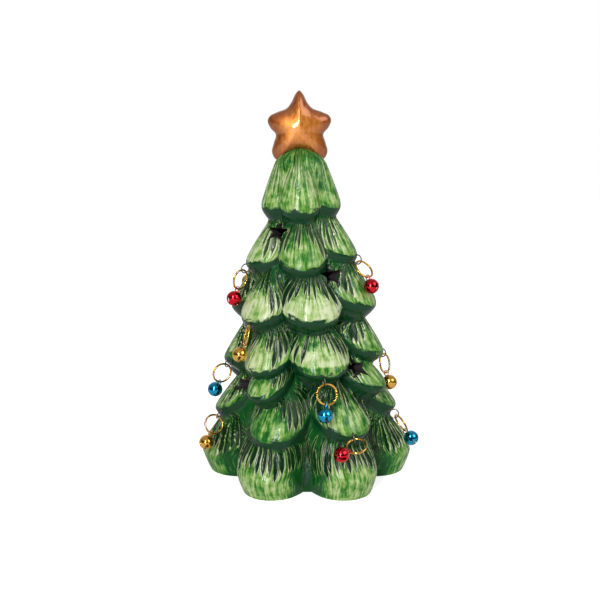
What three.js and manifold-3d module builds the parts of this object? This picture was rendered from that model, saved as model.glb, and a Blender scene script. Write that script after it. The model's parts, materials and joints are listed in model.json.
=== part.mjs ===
// A small slip-cast ceramic Christmas tree with a star on top, jingle bells on its bough tips and a
// battery light in its base. Millimetres, +Z up, the front looks along -Y. The origin is the middle
// of the outer box, on the surface that the tree stands on.
import * as THREE from 'three';
import { mergeVertices } from 'three/addons/utils/BufferGeometryUtils.js';
import Module from 'manifold-3d';

const wasm = await Module();
wasm.setup();

// Driving dimensions: ceramic tree
const BODY_TOP = 134.0;          // rounded tip of the ceramic cone, inside the star
const CROWN_ROUND = 6.0;         // height over which the tip rounds off
const CORE_ROOM = 8.0;           // trunk outside the port at the bottom, without boughs
const CORE_TAPER = 0.165;        // trunk radius lost per millimetre of height
const CORE_FLARE = 5.2;          // extra trunk radius where the lowest boughs join
const FLARE_HEIGHT = 9.0;
const FLARE_SPREAD = 11.0;
const FOOT_TUCK = 0.3;           // how far the trunk draws in per millimetre near the table
const TUCK_HEIGHT = 7.0;
const TIP_LEAST = 0.02;          // share of the squared radius that is left at the tip
const LEAN_PER_MM = -0.022;      // the hand-made axis leans a little to one side
const WALL = 3.0;                // wall of the hollow body
const FOOT_WIDTH = 4.6;          // width of the ring that the tree stands on
const FLOOR_UNDERSIDE = 6.0;     // height of the recessed floor over the table
const FLOOR_THICK = 3.0;
const TIP_SOLID = 13.0;          // solid ceramic over the cavity
const CAVITY_LOOK_DOWN = 4.0;    // the wall is kept this far under and over each row of the cavity
const CAVITY_LOOK_UP = 3.0;
const TOP_TIER_DROP = 24.6;      // from the tip down to the edge of the top tier
const CAST_COLUMNS = 48;         // facets round the outer surface
const ROW_OVER_EDGE = 3.4;       // facet row over a tier's edge, where a bough is thickest
const ROWS_UNDER_EDGE = [-0.6, 1.6, 4.4];  // facet rows under a tier's edge
const TALL_TIER = 14.0;          // a tier over this height has a facet row half-way up
const ROW_LEAST = 1.0;           // least height of a facet row
const CAVITY_COLUMNS = 20;
const CAVITY_ROWS = 9;

// Driving dimensions: star topper and star-shaped windows
const STAR_RISE = 6.9;           // centre of the topper over the cone's tip
const STAR_DEPTH = 12.4;         // front to back
const STAR_TURN = -0.6;          // degrees, seen from the front
const STAR_PEG_DIAMETER = 5.0;
const STAR_PEG_LENGTH = 10.0;    // set into the cone
const STAR_PUFF = 0.8;           // lower is squarer: how the outline shrinks as the face swells
const STAR_FLAT = 0.35;          // part of a ring's step that is left flat in the middle
const WINDOW_TIP_RADIUS = 5.0;   // star windows cut through the wall
const WINDOW_NOTCH_RADIUS = 2.2;
const WINDOW_PITCH = 12;         // degrees that the cutter points up
const WINDOW_OUT = 8.0;          // how far the cutter reaches out of the surface
const WINDOW_DEEP = 0.75;        // and into it, as a share of the radius there

// Driving dimensions: hanging chains
const BELL_DIAMETER = 6.2;
const BELL_WALL = 0.4;
const SLIT_WIDTH = 0.55;
const SLIT_TOP = -0.35;          // height of the slit ends, as a share of the bell radius
const EYE_DIAMETER = 2.4;        // outside of the wire eye on a bell
const EYE_WIRE = 0.4;
const RING_DIAMETER = 8.6;       // outside of a jump ring
const RING_WIRE = 0.8;
const RING_SPLIT = 3;            // degrees left open where the ring's ends meet
const LOOP_DIAMETER = 4.2;       // outside of a wire loop set into a bough
const LOOP_WIRE = 0.5;
const SHANK_LENGTH = 3.4;        // part of the loop's wire that is set into the ceramic
const PELLET_DIAMETER = 1.8;

// Driving dimensions: light unit, sized round its button cell
const CELL_DIAMETER = 20.0;      // button cell, 20 mm by 3.2 mm
const CELL_THICK = 3.2;
const CELL_STEP_THICK = 0.6;     // the cell's narrower end
const CELL_STEP_WIDTH = 1.8;
const CELL_FORWARD = 3.0;        // the cell sits in front of the unit's middle
const CELL_GAP = 0.4;            // round the cell in its cup
const CUP_ROOM = 1.2;            // over the cell, for the contact leaf
const CUP_WALL = 1.4;
const CUP_LEDGE = 0.6;           // cup outside the door
const CONTACT_LENGTH = 14.0;
const CONTACT_WIDTH = 4.0;
const CONTACT_THICK = 0.2;
const CONTACT_RISE = 0.7;        // of the leaf's ends
const DOOR_LIP = 1.2;            // door outside the cell
const DOOR_THICK = 1.4;
const SCREW_OUT = 1.4;           // screw's axis outside the door's disc
const SCREW_HEAD_DIAMETER = 3.4;
const SCREW_HEAD_THICK = 0.9;
const SCREW_SHANK_DIAMETER = 1.4;
const SCREW_LENGTH = 5.0;
const TAB_RIM = 0.8;             // door's tab round the screw's head
const BOSS_RIM = 0.6;            // boss round the screw's head
const BOSS_FOOT_RIM = 1.5;
const BOSS_FOOT_THICK = 0.8;
const UNIT_ROOM = 1.4;           // between the cup and the housing
const HOUSING_WALL = 1.6;
const HOUSING_ROOM = 8.5;        // from the cup to the top of the housing
const PORT_GAP = 0.4;            // round the housing in the port of the ceramic floor
const FLANGE_LIP = 3.2;          // flange outside the port
const FLANGE_THICK = 1.8;
const BOARD_GAP = 1.0;           // round the board in the housing
const BOARD_THICK = 1.2;
const BOARD_DROP = 4.2;          // from the housing's top to the board
const POST_DIAMETER = 3.0;
const LAMP_DIAMETER = 5.0;       // a standard 5 mm lamp
const LAMP_LENGTH = 8.6;
const LAMP_GAP = 0.7;            // round the lamp in the housing's top
const LAMP_COLLAR = 0.4;
const LAMP_COLLAR_THICK = 1.0;
const LEG_DIAMETER = 0.5;
const LEG_LENGTH = 2.6;
const LEG_PITCH = 2.54;
const DIFFUSER_DIAMETER = 15.0;
const DIFFUSER_HEIGHT = 12.6;
const DIFFUSER_WALL = 1.2;
const SWITCH_ROOM = 3.5;         // from the cup back to the switch's middle
const SWITCH_TRAVEL = 4.0;
const KNOB_LENGTH = 3.4;
const KNOB_WIDTH = 2.0;
const KNOB_PROUD = 0.7;
const PLATE_LIP = 1.5;           // how far the knob's plate reaches past its slot
const PLATE_THICK = 0.8;

// Gaps
const SEAT_GAP = 0.3;            // between pieces that touch
const SLIDE_GAP = 0.3;           // around a piece that slides in another
const THROUGH = 1.0;             // how far a cutter runs past the face it cuts
const SINK = 0.01;               // how far joined shapes run into each other

// Sizes that follow
const starHeight = BODY_TOP + STAR_RISE;
const cavityTop = BODY_TOP - TIP_SOLID;
const capTop = FLOOR_UNDERSIDE - SEAT_GAP;
const capBottom = capTop - FLANGE_THICK;
const cellY = -CELL_FORWARD;
const cupInner = CELL_DIAMETER + 2 * CELL_GAP;
const doorDiameter = CELL_DIAMETER + 2 * DOOR_LIP;
const cupDiameter = doorDiameter + 2 * (SLIDE_GAP + CUP_LEDGE);
const cupTop = capTop + CELL_THICK + CUP_ROOM + CUP_WALL;
const screwX = doorDiameter / 2 + SCREW_OUT;
const switchY = cellY + cupDiameter / 2 + SWITCH_ROOM;
const housingInner = cupDiameter + 2 * (CELL_FORWARD + UNIT_ROOM);
const housingDiameter = housingInner + 2 * HOUSING_WALL;
const housingTop = cupTop + HOUSING_ROOM;
const portDiameter = housingDiameter + 2 * PORT_GAP;
const flangeDiameter = portDiameter + 2 * FLANGE_LIP;
const coreFoot = portDiameter / 2 + CORE_ROOM;
const boardDiameter = housingInner - 2 * BOARD_GAP;
const boardTop = housingTop - BOARD_DROP;

const rad = THREE.MathUtils.degToRad;
const UP = new THREE.Vector3(0, 0, 1);

// Boughs, tier by tier from the top. edge: height of the tip's lower edge. reach: distance of the
// tip from the axis. half: half width. length: height over which a bough melts into the trunk.
// droop: how far the edge rises from the tip to the notch. tilt: rise towards the right side.
// slope and narrow: share of reach and width lost at the top. under: how far the surface under the
// edge draws in per millimetre. Each bough has its azimuth in degrees from the front, and may be
// wider, hang lower or reach further than its tier.
const bough = (azimuth, own = {}) => ({ azimuth, wide: 1, drop: 0, out: 0, ...own });
const TIERS = [
  {
    edge: BODY_TOP - TOP_TIER_DROP, reach: 16.8, half: 8.8, length: 30, droop: 7, tilt: 0.3, slope: 0.7,
    narrow: 0.5, under: 0.9,
    boughs: [bough(-2, { drop: 1 }), bough(72), bough(144), bough(216), bough(286)],
  },
  {
    edge: 89.0, reach: 23.6, half: 10.6, length: 24, droop: 8, tilt: 1.6, slope: 0.66, narrow: 0.5,
    under: 0.9,
    boughs: [bough(1, { drop: 1.6 }), bough(70), bough(144), bough(216), bough(289, { out: 0.6 })],
  },
  {
    edge: 70.2, reach: 30.5, half: 12.2, length: 26, droop: 10, tilt: 1.8, slope: 0.54, narrow: 0.5,
    under: 1.1,
    boughs: [bough(9, { wide: 1.12, drop: 4 }), bough(64, { out: 1.5 }), bough(112), bough(162),
      bough(213), bough(261), bough(312, { drop: 2 })],
  },
  {
    edge: 49.4, reach: 33.8, half: 12.0, length: 27, droop: 10, tilt: 2.4, slope: 0.52, narrow: 0.5,
    under: 1.4,
    boughs: [bough(16, { wide: 1.12, drop: 2 }), bough(72), bough(122), bough(172), bough(222),
      bough(270), bough(323, { wide: 0.95 })],
  },
  {
    edge: 39.4, reach: 36.4, half: 10.4, length: 21, droop: 8, tilt: 0.6, slope: 0.6, narrow: 0.45,
    under: 1.3,
    boughs: [bough(-33, { wide: 0.92, drop: 0.6 }), bough(60, { wide: 1.08, out: 0.6 }), bough(150),
      bough(240)],
  },
  {
    edge: 25.6, reach: 38.4, half: 12.4, length: 26, droop: 10, tilt: 0, slope: 0.54, narrow: 0.5,
    under: 1.4,
    boughs: [bough(-24, { wide: 1.04, drop: 3.2 }), bough(33, { wide: 1.08, drop: 1.2 }),
      bough(90, { wide: 0.92, drop: -1.6 }), bough(150), bough(210), bough(269, { wide: 0.92 })],
  },
  {
    edge: 8.0, reach: 44.8, half: 13.4, length: 30, droop: 0, tilt: 0, slope: 0.5, narrow: 0.12,
    under: 0.52,
    boughs: [bough(-30, { out: -1.2 }), bough(30, { out: -1.2 }), bough(92), bough(152), bough(208),
      bough(268)],
  },
];
const EDGE_ROUND = 2.6;          // rounding of a bough's lower edge
const FOOT_ROUND = 4.4;          // rounding of the lowest boughs, which reach the table
const EDGE_CREASE = 1.0;         // softness of the crease between two boughs
const FOOT_CREASE = 5.0;

// Star windows: azimuth and height of their centres
const WINDOWS = [
  [-43, 101.4], [34, 85.0], [-72, 38.6], [48, 48.6],
  [180, 100.0], [137, 84.0], [237, 63.0], [147, 47.0], [196, 31.0],
];

// Chains: where the wire loop sits and how the ring and the bell hang from it at rest. above is
// its height over the edge of its tier and stand is how far its middle stands off the ceramic.
// ring and bell: lean outwards and sway towards the right, in degrees from straight down. twist 0
// shows the ring edge-on from outside and 90 shows it flat.
const chain = (glaze, tier, azimuth, hung) => ({ glaze, tier, azimuth, ...hung });
const CHAINS = [
  chain('red', 1, -72, { above: -2.6, stand: 1.1, ring: [22, 4], bell: [23, 5], twist: 35 }),
  chain('red', 1, 68, { above: 1.2, stand: 0.9, ring: [40, -18], bell: [32, -21], twist: 60 }),
  chain('gold', 2, -45, { above: -3.2, stand: 0.3, ring: [26, 12], bell: [30, -8], twist: 60 }),
  chain('blue', 3, -78, { above: -2.0, stand: 0.5, ring: [27, 2], bell: [27, -20], twist: 20 }),
  chain('gold', 3, 82, { above: 1.8, stand: 0.6, ring: [14, -4], bell: [23, -14], twist: 65 }),
  chain('blue', 3, 13, { above: -2.6, stand: 1.4, ring: [18, 3], bell: [17, -7], twist: 90 }),
  chain('gold', 5, -78, { above: 0.2, stand: 2.2, ring: [30, 30], bell: [31, 13], twist: 20 }),
  chain('blue', 5, 84, { above: -0.8, stand: 2.0, ring: [38, -14], bell: [50, -38], twist: 75 }),
  chain('red', 5, 29, { above: -0.8, stand: 0.3, ring: [66, -22], bell: [90, -74], twist: 30 }),
  chain('red', 5, -117, { above: -1.4, stand: 1.1, ring: [48, -6], bell: [39, 6], twist: 40 }),
  chain('blue', 1, 137, { above: -1.6, stand: 1.7, ring: [31, 0], bell: [35, 0], twist: 85 }),
  chain('gold', 1, 232, { above: -2.2, stand: 0.7, ring: [34, 0], bell: [40, 0], twist: 80 }),
  chain('red', 3, 169, { above: -0.6, stand: 0.5, ring: [14, 0], bell: [14, 0], twist: 75 }),
  chain('gold', 3, 227, { above: -2.8, stand: 0.6, ring: [16, 0], bell: [16, 0], twist: 75 }),
  chain('blue', 2, 215, { above: -3.6, stand: 1.2, ring: [24, 0], bell: [25, 0], twist: 80 }),
  chain('gold', 5, 166, { above: -1.0, stand: 1.3, ring: [45, 0], bell: [48, 0], twist: 85 }),
];

// Materials
const finish = (color, roughness, metalness) =>
  new THREE.MeshStandardMaterial({ color, roughness, metalness });
const greenGlaze = () => finish(0x4f8f3a, 0.16, 0);
const copperGlaze = () => finish(0xc06a1e, 0.14, 0.6);
const anodised = { red: 0xc01020, blue: 0x0078b8, gold: 0xd8922a };
const brass = () => finish(0xd09030, 0.22, 1);
const steel = () => finish(0xb8b8b4, 0.3, 1);
const whitePlastic = () => finish(0xe8e6e0, 0.45, 0);

// Plain helpers

/** Radius, azimuth and height to a point, on the leaning axis. */
function onTree(radius, azimuth, height) {
  const a = rad(azimuth);
  return new THREE.Vector3(radius * Math.sin(a) + LEAN_PER_MM * height, -radius * Math.cos(a), height);
}

/** Smooth maximum of two lengths, blended over the length k. */
function softMax(a, b, k) {
  const h = THREE.MathUtils.clamp(0.5 + (0.5 * (a - b)) / k, 0, 1);
  return b + (a - b) * h + k * h * (1 - h);
}

const softMin = (a, b, k) => -softMax(-a, -b, k);

/** A closed solid through rings of equally many points, listed from the bottom up. */
function loft(rings) {
  const count = rings[0].length;
  const points = rings.flat();
  const first = points.length;
  for (const ring of [rings[0], rings[rings.length - 1]]) {
    const middle = ring.reduce((sum, p) => sum.add(p), new THREE.Vector3()).divideScalar(count);
    points.push(middle);
  }
  const faces = [];
  for (let row = 0; row < rings.length - 1; row += 1) {
    for (let i = 0; i < count; i += 1) {
      const [a, b] = [row * count + i, row * count + ((i + 1) % count)];
      faces.push(a, b, b + count, a, b + count, a + count);
    }
  }
  const top = (rings.length - 1) * count;
  for (let i = 0; i < count; i += 1) {
    const next = (i + 1) % count;
    faces.push(first, next, i, first + 1, top + i, top + next);
  }
  const geometry = new THREE.BufferGeometry();
  const places = points.flatMap((p) => p.toArray());
  geometry.setAttribute('position', new THREE.Float32BufferAttribute(places, 3));
  geometry.setIndex(faces);
  return geometry;
}

/** A wire of round section bent to an arc in the XY plane, round the origin, with closed ends. */
function wireArc(radius, wire, steps, sides, openDegrees) {
  const sweep = 2 * Math.PI - rad(openDegrees);
  const rings = [];
  for (let i = 0; i <= steps; i += 1) {
    const a = rad(openDegrees) / 2 + (sweep * i) / steps;
    const ring = [];
    for (let j = 0; j < sides; j += 1) {
      const b = (2 * Math.PI * j) / sides;
      const r = radius + (wire / 2) * Math.cos(b);
      ring.push(new THREE.Vector3(r * Math.cos(a), r * Math.sin(a), (wire / 2) * Math.sin(b)));
    }
    rings.push(ring.reverse());
  }
  return loft(rings);
}

/** three.js geometry to a manifold solid. */
function solid(geometry) {
  const bare = geometry.clone();
  bare.deleteAttribute('normal');
  bare.deleteAttribute('uv');
  const merged = mergeVertices(bare, 1e-5);
  return new wasm.Manifold(new wasm.Mesh({
    numProp: 3,
    vertProperties: new Float32Array(merged.attributes.position.array),
    triVerts: new Uint32Array(merged.index.array),
  }));
}

/** Manifold solid back to three.js geometry. */
function geometryOf(body) {
  const mesh = body.getMesh();
  const geometry = new THREE.BufferGeometry();
  geometry.setAttribute('position', new THREE.BufferAttribute(mesh.vertProperties, 3));
  geometry.setIndex(new THREE.BufferAttribute(mesh.triVerts, 1));
  return geometry;
}

/** Upright round bar between two heights. */
function bar(diameter, low, high, x = 0, y = 0, segments = 20) {
  const geometry = new THREE.CylinderGeometry(diameter / 2, diameter / 2, high - low, segments);
  geometry.rotateX(Math.PI / 2).translate(x, y, (low + high) / 2);
  return geometry;
}

/** Block given by its size, with its middle at x, y and its faces at two heights. */
function block(sizeX, sizeY, low, high, x = 0, y = 0) {
  return new THREE.BoxGeometry(sizeX, sizeY, high - low).translate(x, y, (low + high) / 2);
}

// Ceramic body

/** Height of the lower edge of one bough at its tip. */
const lowestEdge = (tier, tip) => tier.edge - tip.drop + tier.tilt * Math.sin(rad(tip.azimuth));

/** Section of one bough at a share of its length: its outer side, and crown from 1 amid to 0. */
function boughSection(azimuth, rise, tier, tip) {
  const turn = rad(THREE.MathUtils.euclideanModulo(azimuth - tip.azimuth + 180, 360) - 180);
  const half = tier.half * tip.wide * (1 - tier.narrow * rise ** 1.3);
  const centre = Math.max((tier.reach + tip.out) * (1 - tier.slope * rise ** 1.2) - half, 0.5);
  const across = (centre * Math.sin(turn)) / half;
  const crown = Math.cos(turn) > 0 ? Math.sqrt(Math.max(1 - across * across, 0)) : 0;
  return { outer: centre * Math.cos(turn) + half * crown, crown };
}

/** Distance of one bough's surface from the axis, or a negative length outside it. */
function boughRadius(azimuth, height, tier, tip) {
  const lowest = lowestEdge(tier, tip);
  const rise = THREE.MathUtils.clamp((height - lowest) / tier.length, 0, 1);
  const { outer, crown } = boughSection(azimuth, rise, tier, tip);
  if (rise >= 1 || crown === 0) return -5;
  const edge = lowest + tier.droop * (1 - crown);
  const under = outer - tier.under * (edge - height);
  return softMin(outer, under, tier.droop === 0 ? FOOT_ROUND : EDGE_ROUND);
}

/** Height of a tier's scalloped edge in one direction. */
function edgeHeight(azimuth, tier) {
  const edges = tier.boughs.map((tip) => {
    const { crown } = boughSection(azimuth, 0, tier, tip);
    return crown === 0 ? tier.edge + tier.droop : lowestEdge(tier, tip) + tier.droop * (1 - crown);
  });
  return Math.min(...edges);
}

/** Distance of the ceramic's outer surface from the leaning axis. */
function castRadius(azimuth, height) {
  const flare = Math.exp(-(((height - FLARE_HEIGHT) / FLARE_SPREAD) ** 2));
  const tuck = FOOT_TUCK * Math.max(TUCK_HEIGHT - height, 0);
  let radius = coreFoot - CORE_TAPER * height + CORE_FLARE * flare - tuck;
  for (const tier of TIERS) {
    const crease = tier.droop === 0 ? FOOT_CREASE : EDGE_CREASE;
    for (const tip of tier.boughs) {
      radius = softMax(radius, boughRadius(azimuth, height, tier, tip), crease);
    }
  }
  const crown = THREE.MathUtils.clamp((height - BODY_TOP + CROWN_ROUND) / CROWN_ROUND, 0, 1);
  return radius * Math.sqrt(Math.max(1 - crown * crown, TIP_LEAST));
}

/** Least outer radius near a direction, which keeps the wall whole under a notch or an edge. */
function leastRadius(azimuth, low, high) {
  const quarter = 360 / CAVITY_COLUMNS / 4;
  let least = Infinity;
  for (const turn of [-2, -1, 0, 1, 2]) {
    for (const share of [0, 0.25, 0.5, 0.75, 1]) {
      least = Math.min(least, castRadius(azimuth + turn * quarter, low + (high - low) * share));
    }
  }
  return least;
}

/** One level ring of points round the leaning axis. */
function ringAt(height, columns, radiusAt) {
  return Array.from({ length: columns }, (_, i) => {
    const azimuth = (360 * i) / columns;
    return onTree(radiusAt(azimuth), azimuth, height);
  });
}

/** Heights of the facet rows in one direction, from the table up: rows follow each tier's edge. */
function rowHeights(azimuth) {
  const heights = [BODY_TOP, BODY_TOP - CROWN_ROUND / 4, BODY_TOP - CROWN_ROUND];
  let above = BODY_TOP;
  for (const tier of TIERS) {
    const edge = edgeHeight(azimuth, tier);
    const last = heights[heights.length - 1];
    const first = Math.min(edge + ROW_OVER_EDGE, last - 2 * ROW_LEAST);
    if (above - tier.edge > TALL_TIER) heights.push((last + first) / 2);
    heights.push(first);
    above = tier.edge;
    for (const drop of ROWS_UNDER_EDGE) {
      heights.push(Math.min(edge - drop, heights[heights.length - 1] - ROW_LEAST));
    }
  }
  heights[heights.length - 1] = 0;
  return heights.reverse();
}

/** Outer surface of the cast body, in rows that follow the edges of its tiers, grown by a gap. */
function castSolid(grown) {
  const columns = Array.from({ length: CAST_COLUMNS }, (_, i) => {
    const azimuth = (360 * i) / CAST_COLUMNS;
    return rowHeights(azimuth).map((h) => onTree(castRadius(azimuth, h) + grown, azimuth, h));
  });
  const rings = columns[0].map((_, row) => columns.map((column) => column[row]));
  for (const point of rings[rings.length - 1]) point.z += grown;
  return solid(loft(rings));
}

/** Outline of a five-pointed star as a shape with its top point along +Y. */
function starShape(tipRadius, notchRadius) {
  const shape = new THREE.Shape();
  for (let i = 0; i < 10; i += 1) {
    const r = i % 2 === 0 ? tipRadius : notchRadius;
    const a = (Math.PI * i) / 5;
    shape[i === 0 ? 'moveTo' : 'lineTo'](-r * Math.sin(a), r * Math.cos(a));
  }
  shape.closePath();
  return shape;
}

/** Star-shaped cutter that points outwards and a little up through the wall. */
function windowCutter([azimuth, height]) {
  const radius = castRadius(azimuth, height);
  const depth = radius * WINDOW_DEEP + WINDOW_OUT;
  const cutter = new THREE.ExtrudeGeometry(starShape(WINDOW_TIP_RADIUS, WINDOW_NOTCH_RADIUS), {
    depth, bevelEnabled: false,
  });
  cutter.translate(0, 0, WINDOW_OUT - depth);
  cutter.rotateX(Math.PI / 2 - rad(WINDOW_PITCH)).rotateZ(rad(azimuth));
  const at = onTree(radius, azimuth, height);
  return solid(cutter.translate(at.x, at.y, at.z));
}

/** Cavity of the body, from the floor to under the star. */
function cavitySolid() {
  const floor = FLOOR_UNDERSIDE + FLOOR_THICK;
  const rings = [];
  for (let row = 0; row <= CAVITY_ROWS; row += 1) {
    const height = floor + ((cavityTop - floor) * row) / CAVITY_ROWS;
    const inner = (a) => leastRadius(a, height - CAVITY_LOOK_DOWN, height + CAVITY_LOOK_UP) - WALL;
    rings.push(ringAt(height, CAVITY_COLUMNS, inner));
  }
  return solid(loft(rings));
}

/** Recess under the floor, which leaves the foot ring. */
function footRecess() {
  const inner = (a) => leastRadius(a, 0, FLOOR_UNDERSIDE) - FOOT_WIDTH;
  return solid(loft([
    ringAt(-THROUGH, CAVITY_COLUMNS, inner),
    ringAt(FLOOR_UNDERSIDE, CAVITY_COLUMNS, inner),
  ]));
}

// Chains

/** Places and directions of one chain: the loop, ring and bell of one row of CHAINS. */
function hang(spec) {
  const a = rad(spec.azimuth);
  const outwards = new THREE.Vector3(Math.sin(a), -Math.cos(a), 0);
  const rightwards = new THREE.Vector3(Math.cos(a), Math.sin(a), 0);
  const down = ([lean, sway]) => new THREE.Vector3(0, 0, -Math.cos(rad(lean)) * Math.cos(rad(sway)))
    .addScaledVector(outwards, Math.sin(rad(lean)) * Math.cos(rad(sway)))
    .addScaledVector(rightwards, Math.sin(rad(sway)));
  const ringDown = down(spec.ring);
  const bellDown = down(spec.bell);
  const spread = outwards.clone().addScaledVector(ringDown, -outwards.dot(ringDown)).normalize()
    .applyAxisAngle(ringDown, -rad(spec.twist));
  const ringNormal = ringDown.clone().cross(spread).normalize();
  const loopRadius = (LOOP_DIAMETER - LOOP_WIRE) / 2;
  const ringRadius = (RING_DIAMETER - RING_WIRE) / 2;
  const eyeRadius = (EYE_DIAMETER - EYE_WIRE) / 2;
  const height = TIERS[spec.tier].edge + spec.above;
  const loop = onTree(castRadius(spec.azimuth, height) + spec.stand, spec.azimuth, height);
  const ringPivot = loop.clone().addScaledVector(ringDown, loopRadius);
  const overWire = (LOOP_WIRE + RING_WIRE) / 2 + SEAT_GAP;
  const overEye = (RING_WIRE + EYE_WIRE) / 2 + SEAT_GAP;
  const ring = ringPivot.clone().addScaledVector(ringDown, ringRadius - overWire);
  const inRing = bellDown.clone().addScaledVector(ringNormal, -bellDown.dot(ringNormal)).normalize();
  const bellPivot = ring.clone().addScaledVector(inRing, ringRadius);
  const eye = bellPivot.clone().addScaledVector(bellDown, eyeRadius - overEye);
  const bell = eye.clone().addScaledVector(bellDown, (EYE_DIAMETER + BELL_DIAMETER) / 2 - EYE_WIRE);
  const eyeAxis = ringNormal.clone().cross(inRing).normalize();
  return {
    outwards, ringDown, bellDown, ringNormal, spread,
    loop, ringPivot, ring, bellPivot, eye, bell, eyeAxis,
  };
}

/** Moves a geometry so that its X, Y and Z axes become the given unit vectors, at a place. */
function place(geometry, xAxis, zAxis, at) {
  const yAxis = zAxis.clone().cross(xAxis);
  const matrix = new THREE.Matrix4().makeBasis(xAxis, yAxis, zAxis).setPosition(at);
  return geometry.applyMatrix4(matrix);
}

/** Wire loop, square to the ring that hangs in it, with a shank set into the ceramic. */
function wireLoop(spot) {
  const radius = (LOOP_DIAMETER - LOOP_WIRE) / 2;
  const torus = new THREE.TorusGeometry(radius, LOOP_WIRE / 2, 3, 8);
  const loop = solid(place(torus, spot.ringDown.clone(), spot.spread.clone(), spot.loop));
  const root = spot.loop.clone().addScaledVector(spot.ringDown, -radius);
  const sideways = UP.clone().cross(spot.outwards);
  const shank = bar(LOOP_WIRE, -LOOP_WIRE / 2, SHANK_LENGTH, 0, 0, 4);
  return loop.add(solid(place(shank, sideways, spot.outwards.clone().negate(), root)));
}

/** Jump ring: a round wire whose ends meet, with the joint turned to one side. */
function jumpRing(spot) {
  const ring = wireArc((RING_DIAMETER - RING_WIRE) / 2, RING_WIRE, 11, 4, RING_SPLIT);
  return place(ring, spot.spread.clone(), spot.ringNormal.clone(), spot.ring);
}

/** Jingle bell: a thin ball with two crossed slits below, a hole at each slit's end, and an eye. */
function jingleBell(spot) {
  const outer = BELL_DIAMETER / 2;
  const inner = outer - BELL_WALL;
  let shell = solid(new THREE.SphereGeometry(outer, 8, 5).rotateX(Math.PI / 2));
  const hollow = new THREE.SphereGeometry(inner, 4, 3).rotateX(Math.PI / 2).rotateZ(Math.PI / 4);
  shell = shell.subtract(solid(hollow));
  for (const turn of [0, Math.PI / 2]) {
    const slit = block(2 * BELL_DIAMETER, SLIT_WIDTH, -BELL_DIAMETER, SLIT_TOP * outer).rotateZ(turn);
    shell = shell.subtract(solid(slit));
  }
  const eye = new THREE.TorusGeometry((EYE_DIAMETER - EYE_WIRE) / 2, EYE_WIRE / 2, 3, 6);
  eye.rotateX(Math.PI / 2).translate(0, 0, spot.eye.distanceTo(spot.bell));
  shell = shell.add(solid(eye));
  const up = spot.bellDown.clone().negate();
  const across = up.clone().cross(spot.eyeAxis).normalize();
  return place(geometryOf(shell), across, up, spot.bell);
}

/** Loose steel pellet in a bell, at rest in the bottom. */
function pellet(spot) {
  const drop = BELL_DIAMETER / 2 - BELL_WALL - PELLET_DIAMETER / 2 - SEAT_GAP;
  const at = spot.bell.clone().addScaledVector(spot.bellDown, drop);
  return new THREE.OctahedronGeometry(PELLET_DIAMETER / 2, 0).translate(at.x, at.y, at.z);
}

// Star topper

/** Half outline of the topper from its top point to the arch between its feet, x then z. */
const STAR_OUTLINE = [
  [0, 14.7], [1.5, 13.3], [3.1, 10.2], [5.0, 7.9], [8.6, 6.5], [11.7, 4.9], [12.5, 3.0],
  [11.3, 0.2], [9.4, -2.2], [10.2, -5.4], [11.0, -8.8], [10.0, -11.4], [8.6, -12.3], [5.6, -10.6],
  [0, -8.4],
];

/** Puffed star: rings that shrink from the outline to the middle while the face swells. */
function puffedStar(outlineCount, ringCount) {
  const right = STAR_OUTLINE.map(([x, z]) => new THREE.Vector3(x, 0, z));
  const left = STAR_OUTLINE.slice(1, -1).reverse().map(([x, z]) => new THREE.Vector3(-x, 0, z));
  const outline = new THREE.CatmullRomCurve3([...right, ...left], true, 'centripetal');
  const rim = outline.getSpacedPoints(outlineCount).slice(0, outlineCount);
  const rings = [];
  for (let i = -ringCount; i <= ringCount; i += 1) {
    const swing = (Math.PI / 2) * (i / (ringCount + STAR_FLAT));
    const shrink = Math.cos(swing) ** STAR_PUFF;
    const y = (STAR_DEPTH / 2) * Math.sin(swing);
    rings.push(rim.map((p) => new THREE.Vector3(p.x * shrink, y, p.z * shrink)));
  }
  return loft(rings);
}

/** Star topper with its peg, hollowed to sit over the cone's rounded tip. */
function starTopper() {
  const body = puffedStar(30, 2).rotateY(-rad(STAR_TURN));
  const star = solid(body.translate(LEAN_PER_MM * starHeight, 0, starHeight));
  const pegLow = BODY_TOP - STAR_PEG_LENGTH;
  const peg = bar(STAR_PEG_DIAMETER, pegLow, starHeight, LEAN_PER_MM * BODY_TOP, 0, 12);
  return geometryOf(star.subtract(castSolid(SEAT_GAP)).add(solid(peg)));
}

/** Whole ceramic body: cast shell, floor, foot ring, port, peg hole, star windows and wire loops. */
function treeBody(spots) {
  let body = castSolid(0).subtract(cavitySolid()).subtract(footRecess());
  const port = bar(portDiameter, FLOOR_UNDERSIDE - THROUGH, FLOOR_UNDERSIDE + FLOOR_THICK + THROUGH);
  body = body.subtract(solid(port));
  const pegHole = bar(STAR_PEG_DIAMETER + 2 * SEAT_GAP, cavityTop - THROUGH, BODY_TOP + THROUGH,
    LEAN_PER_MM * BODY_TOP, 0, 12);
  body = body.subtract(solid(pegHole));
  for (const spot of WINDOWS) body = body.subtract(windowCutter(spot));
  for (const spot of spots) body = body.add(wireLoop(spot));
  return geometryOf(body);
}

// Light unit

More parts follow.
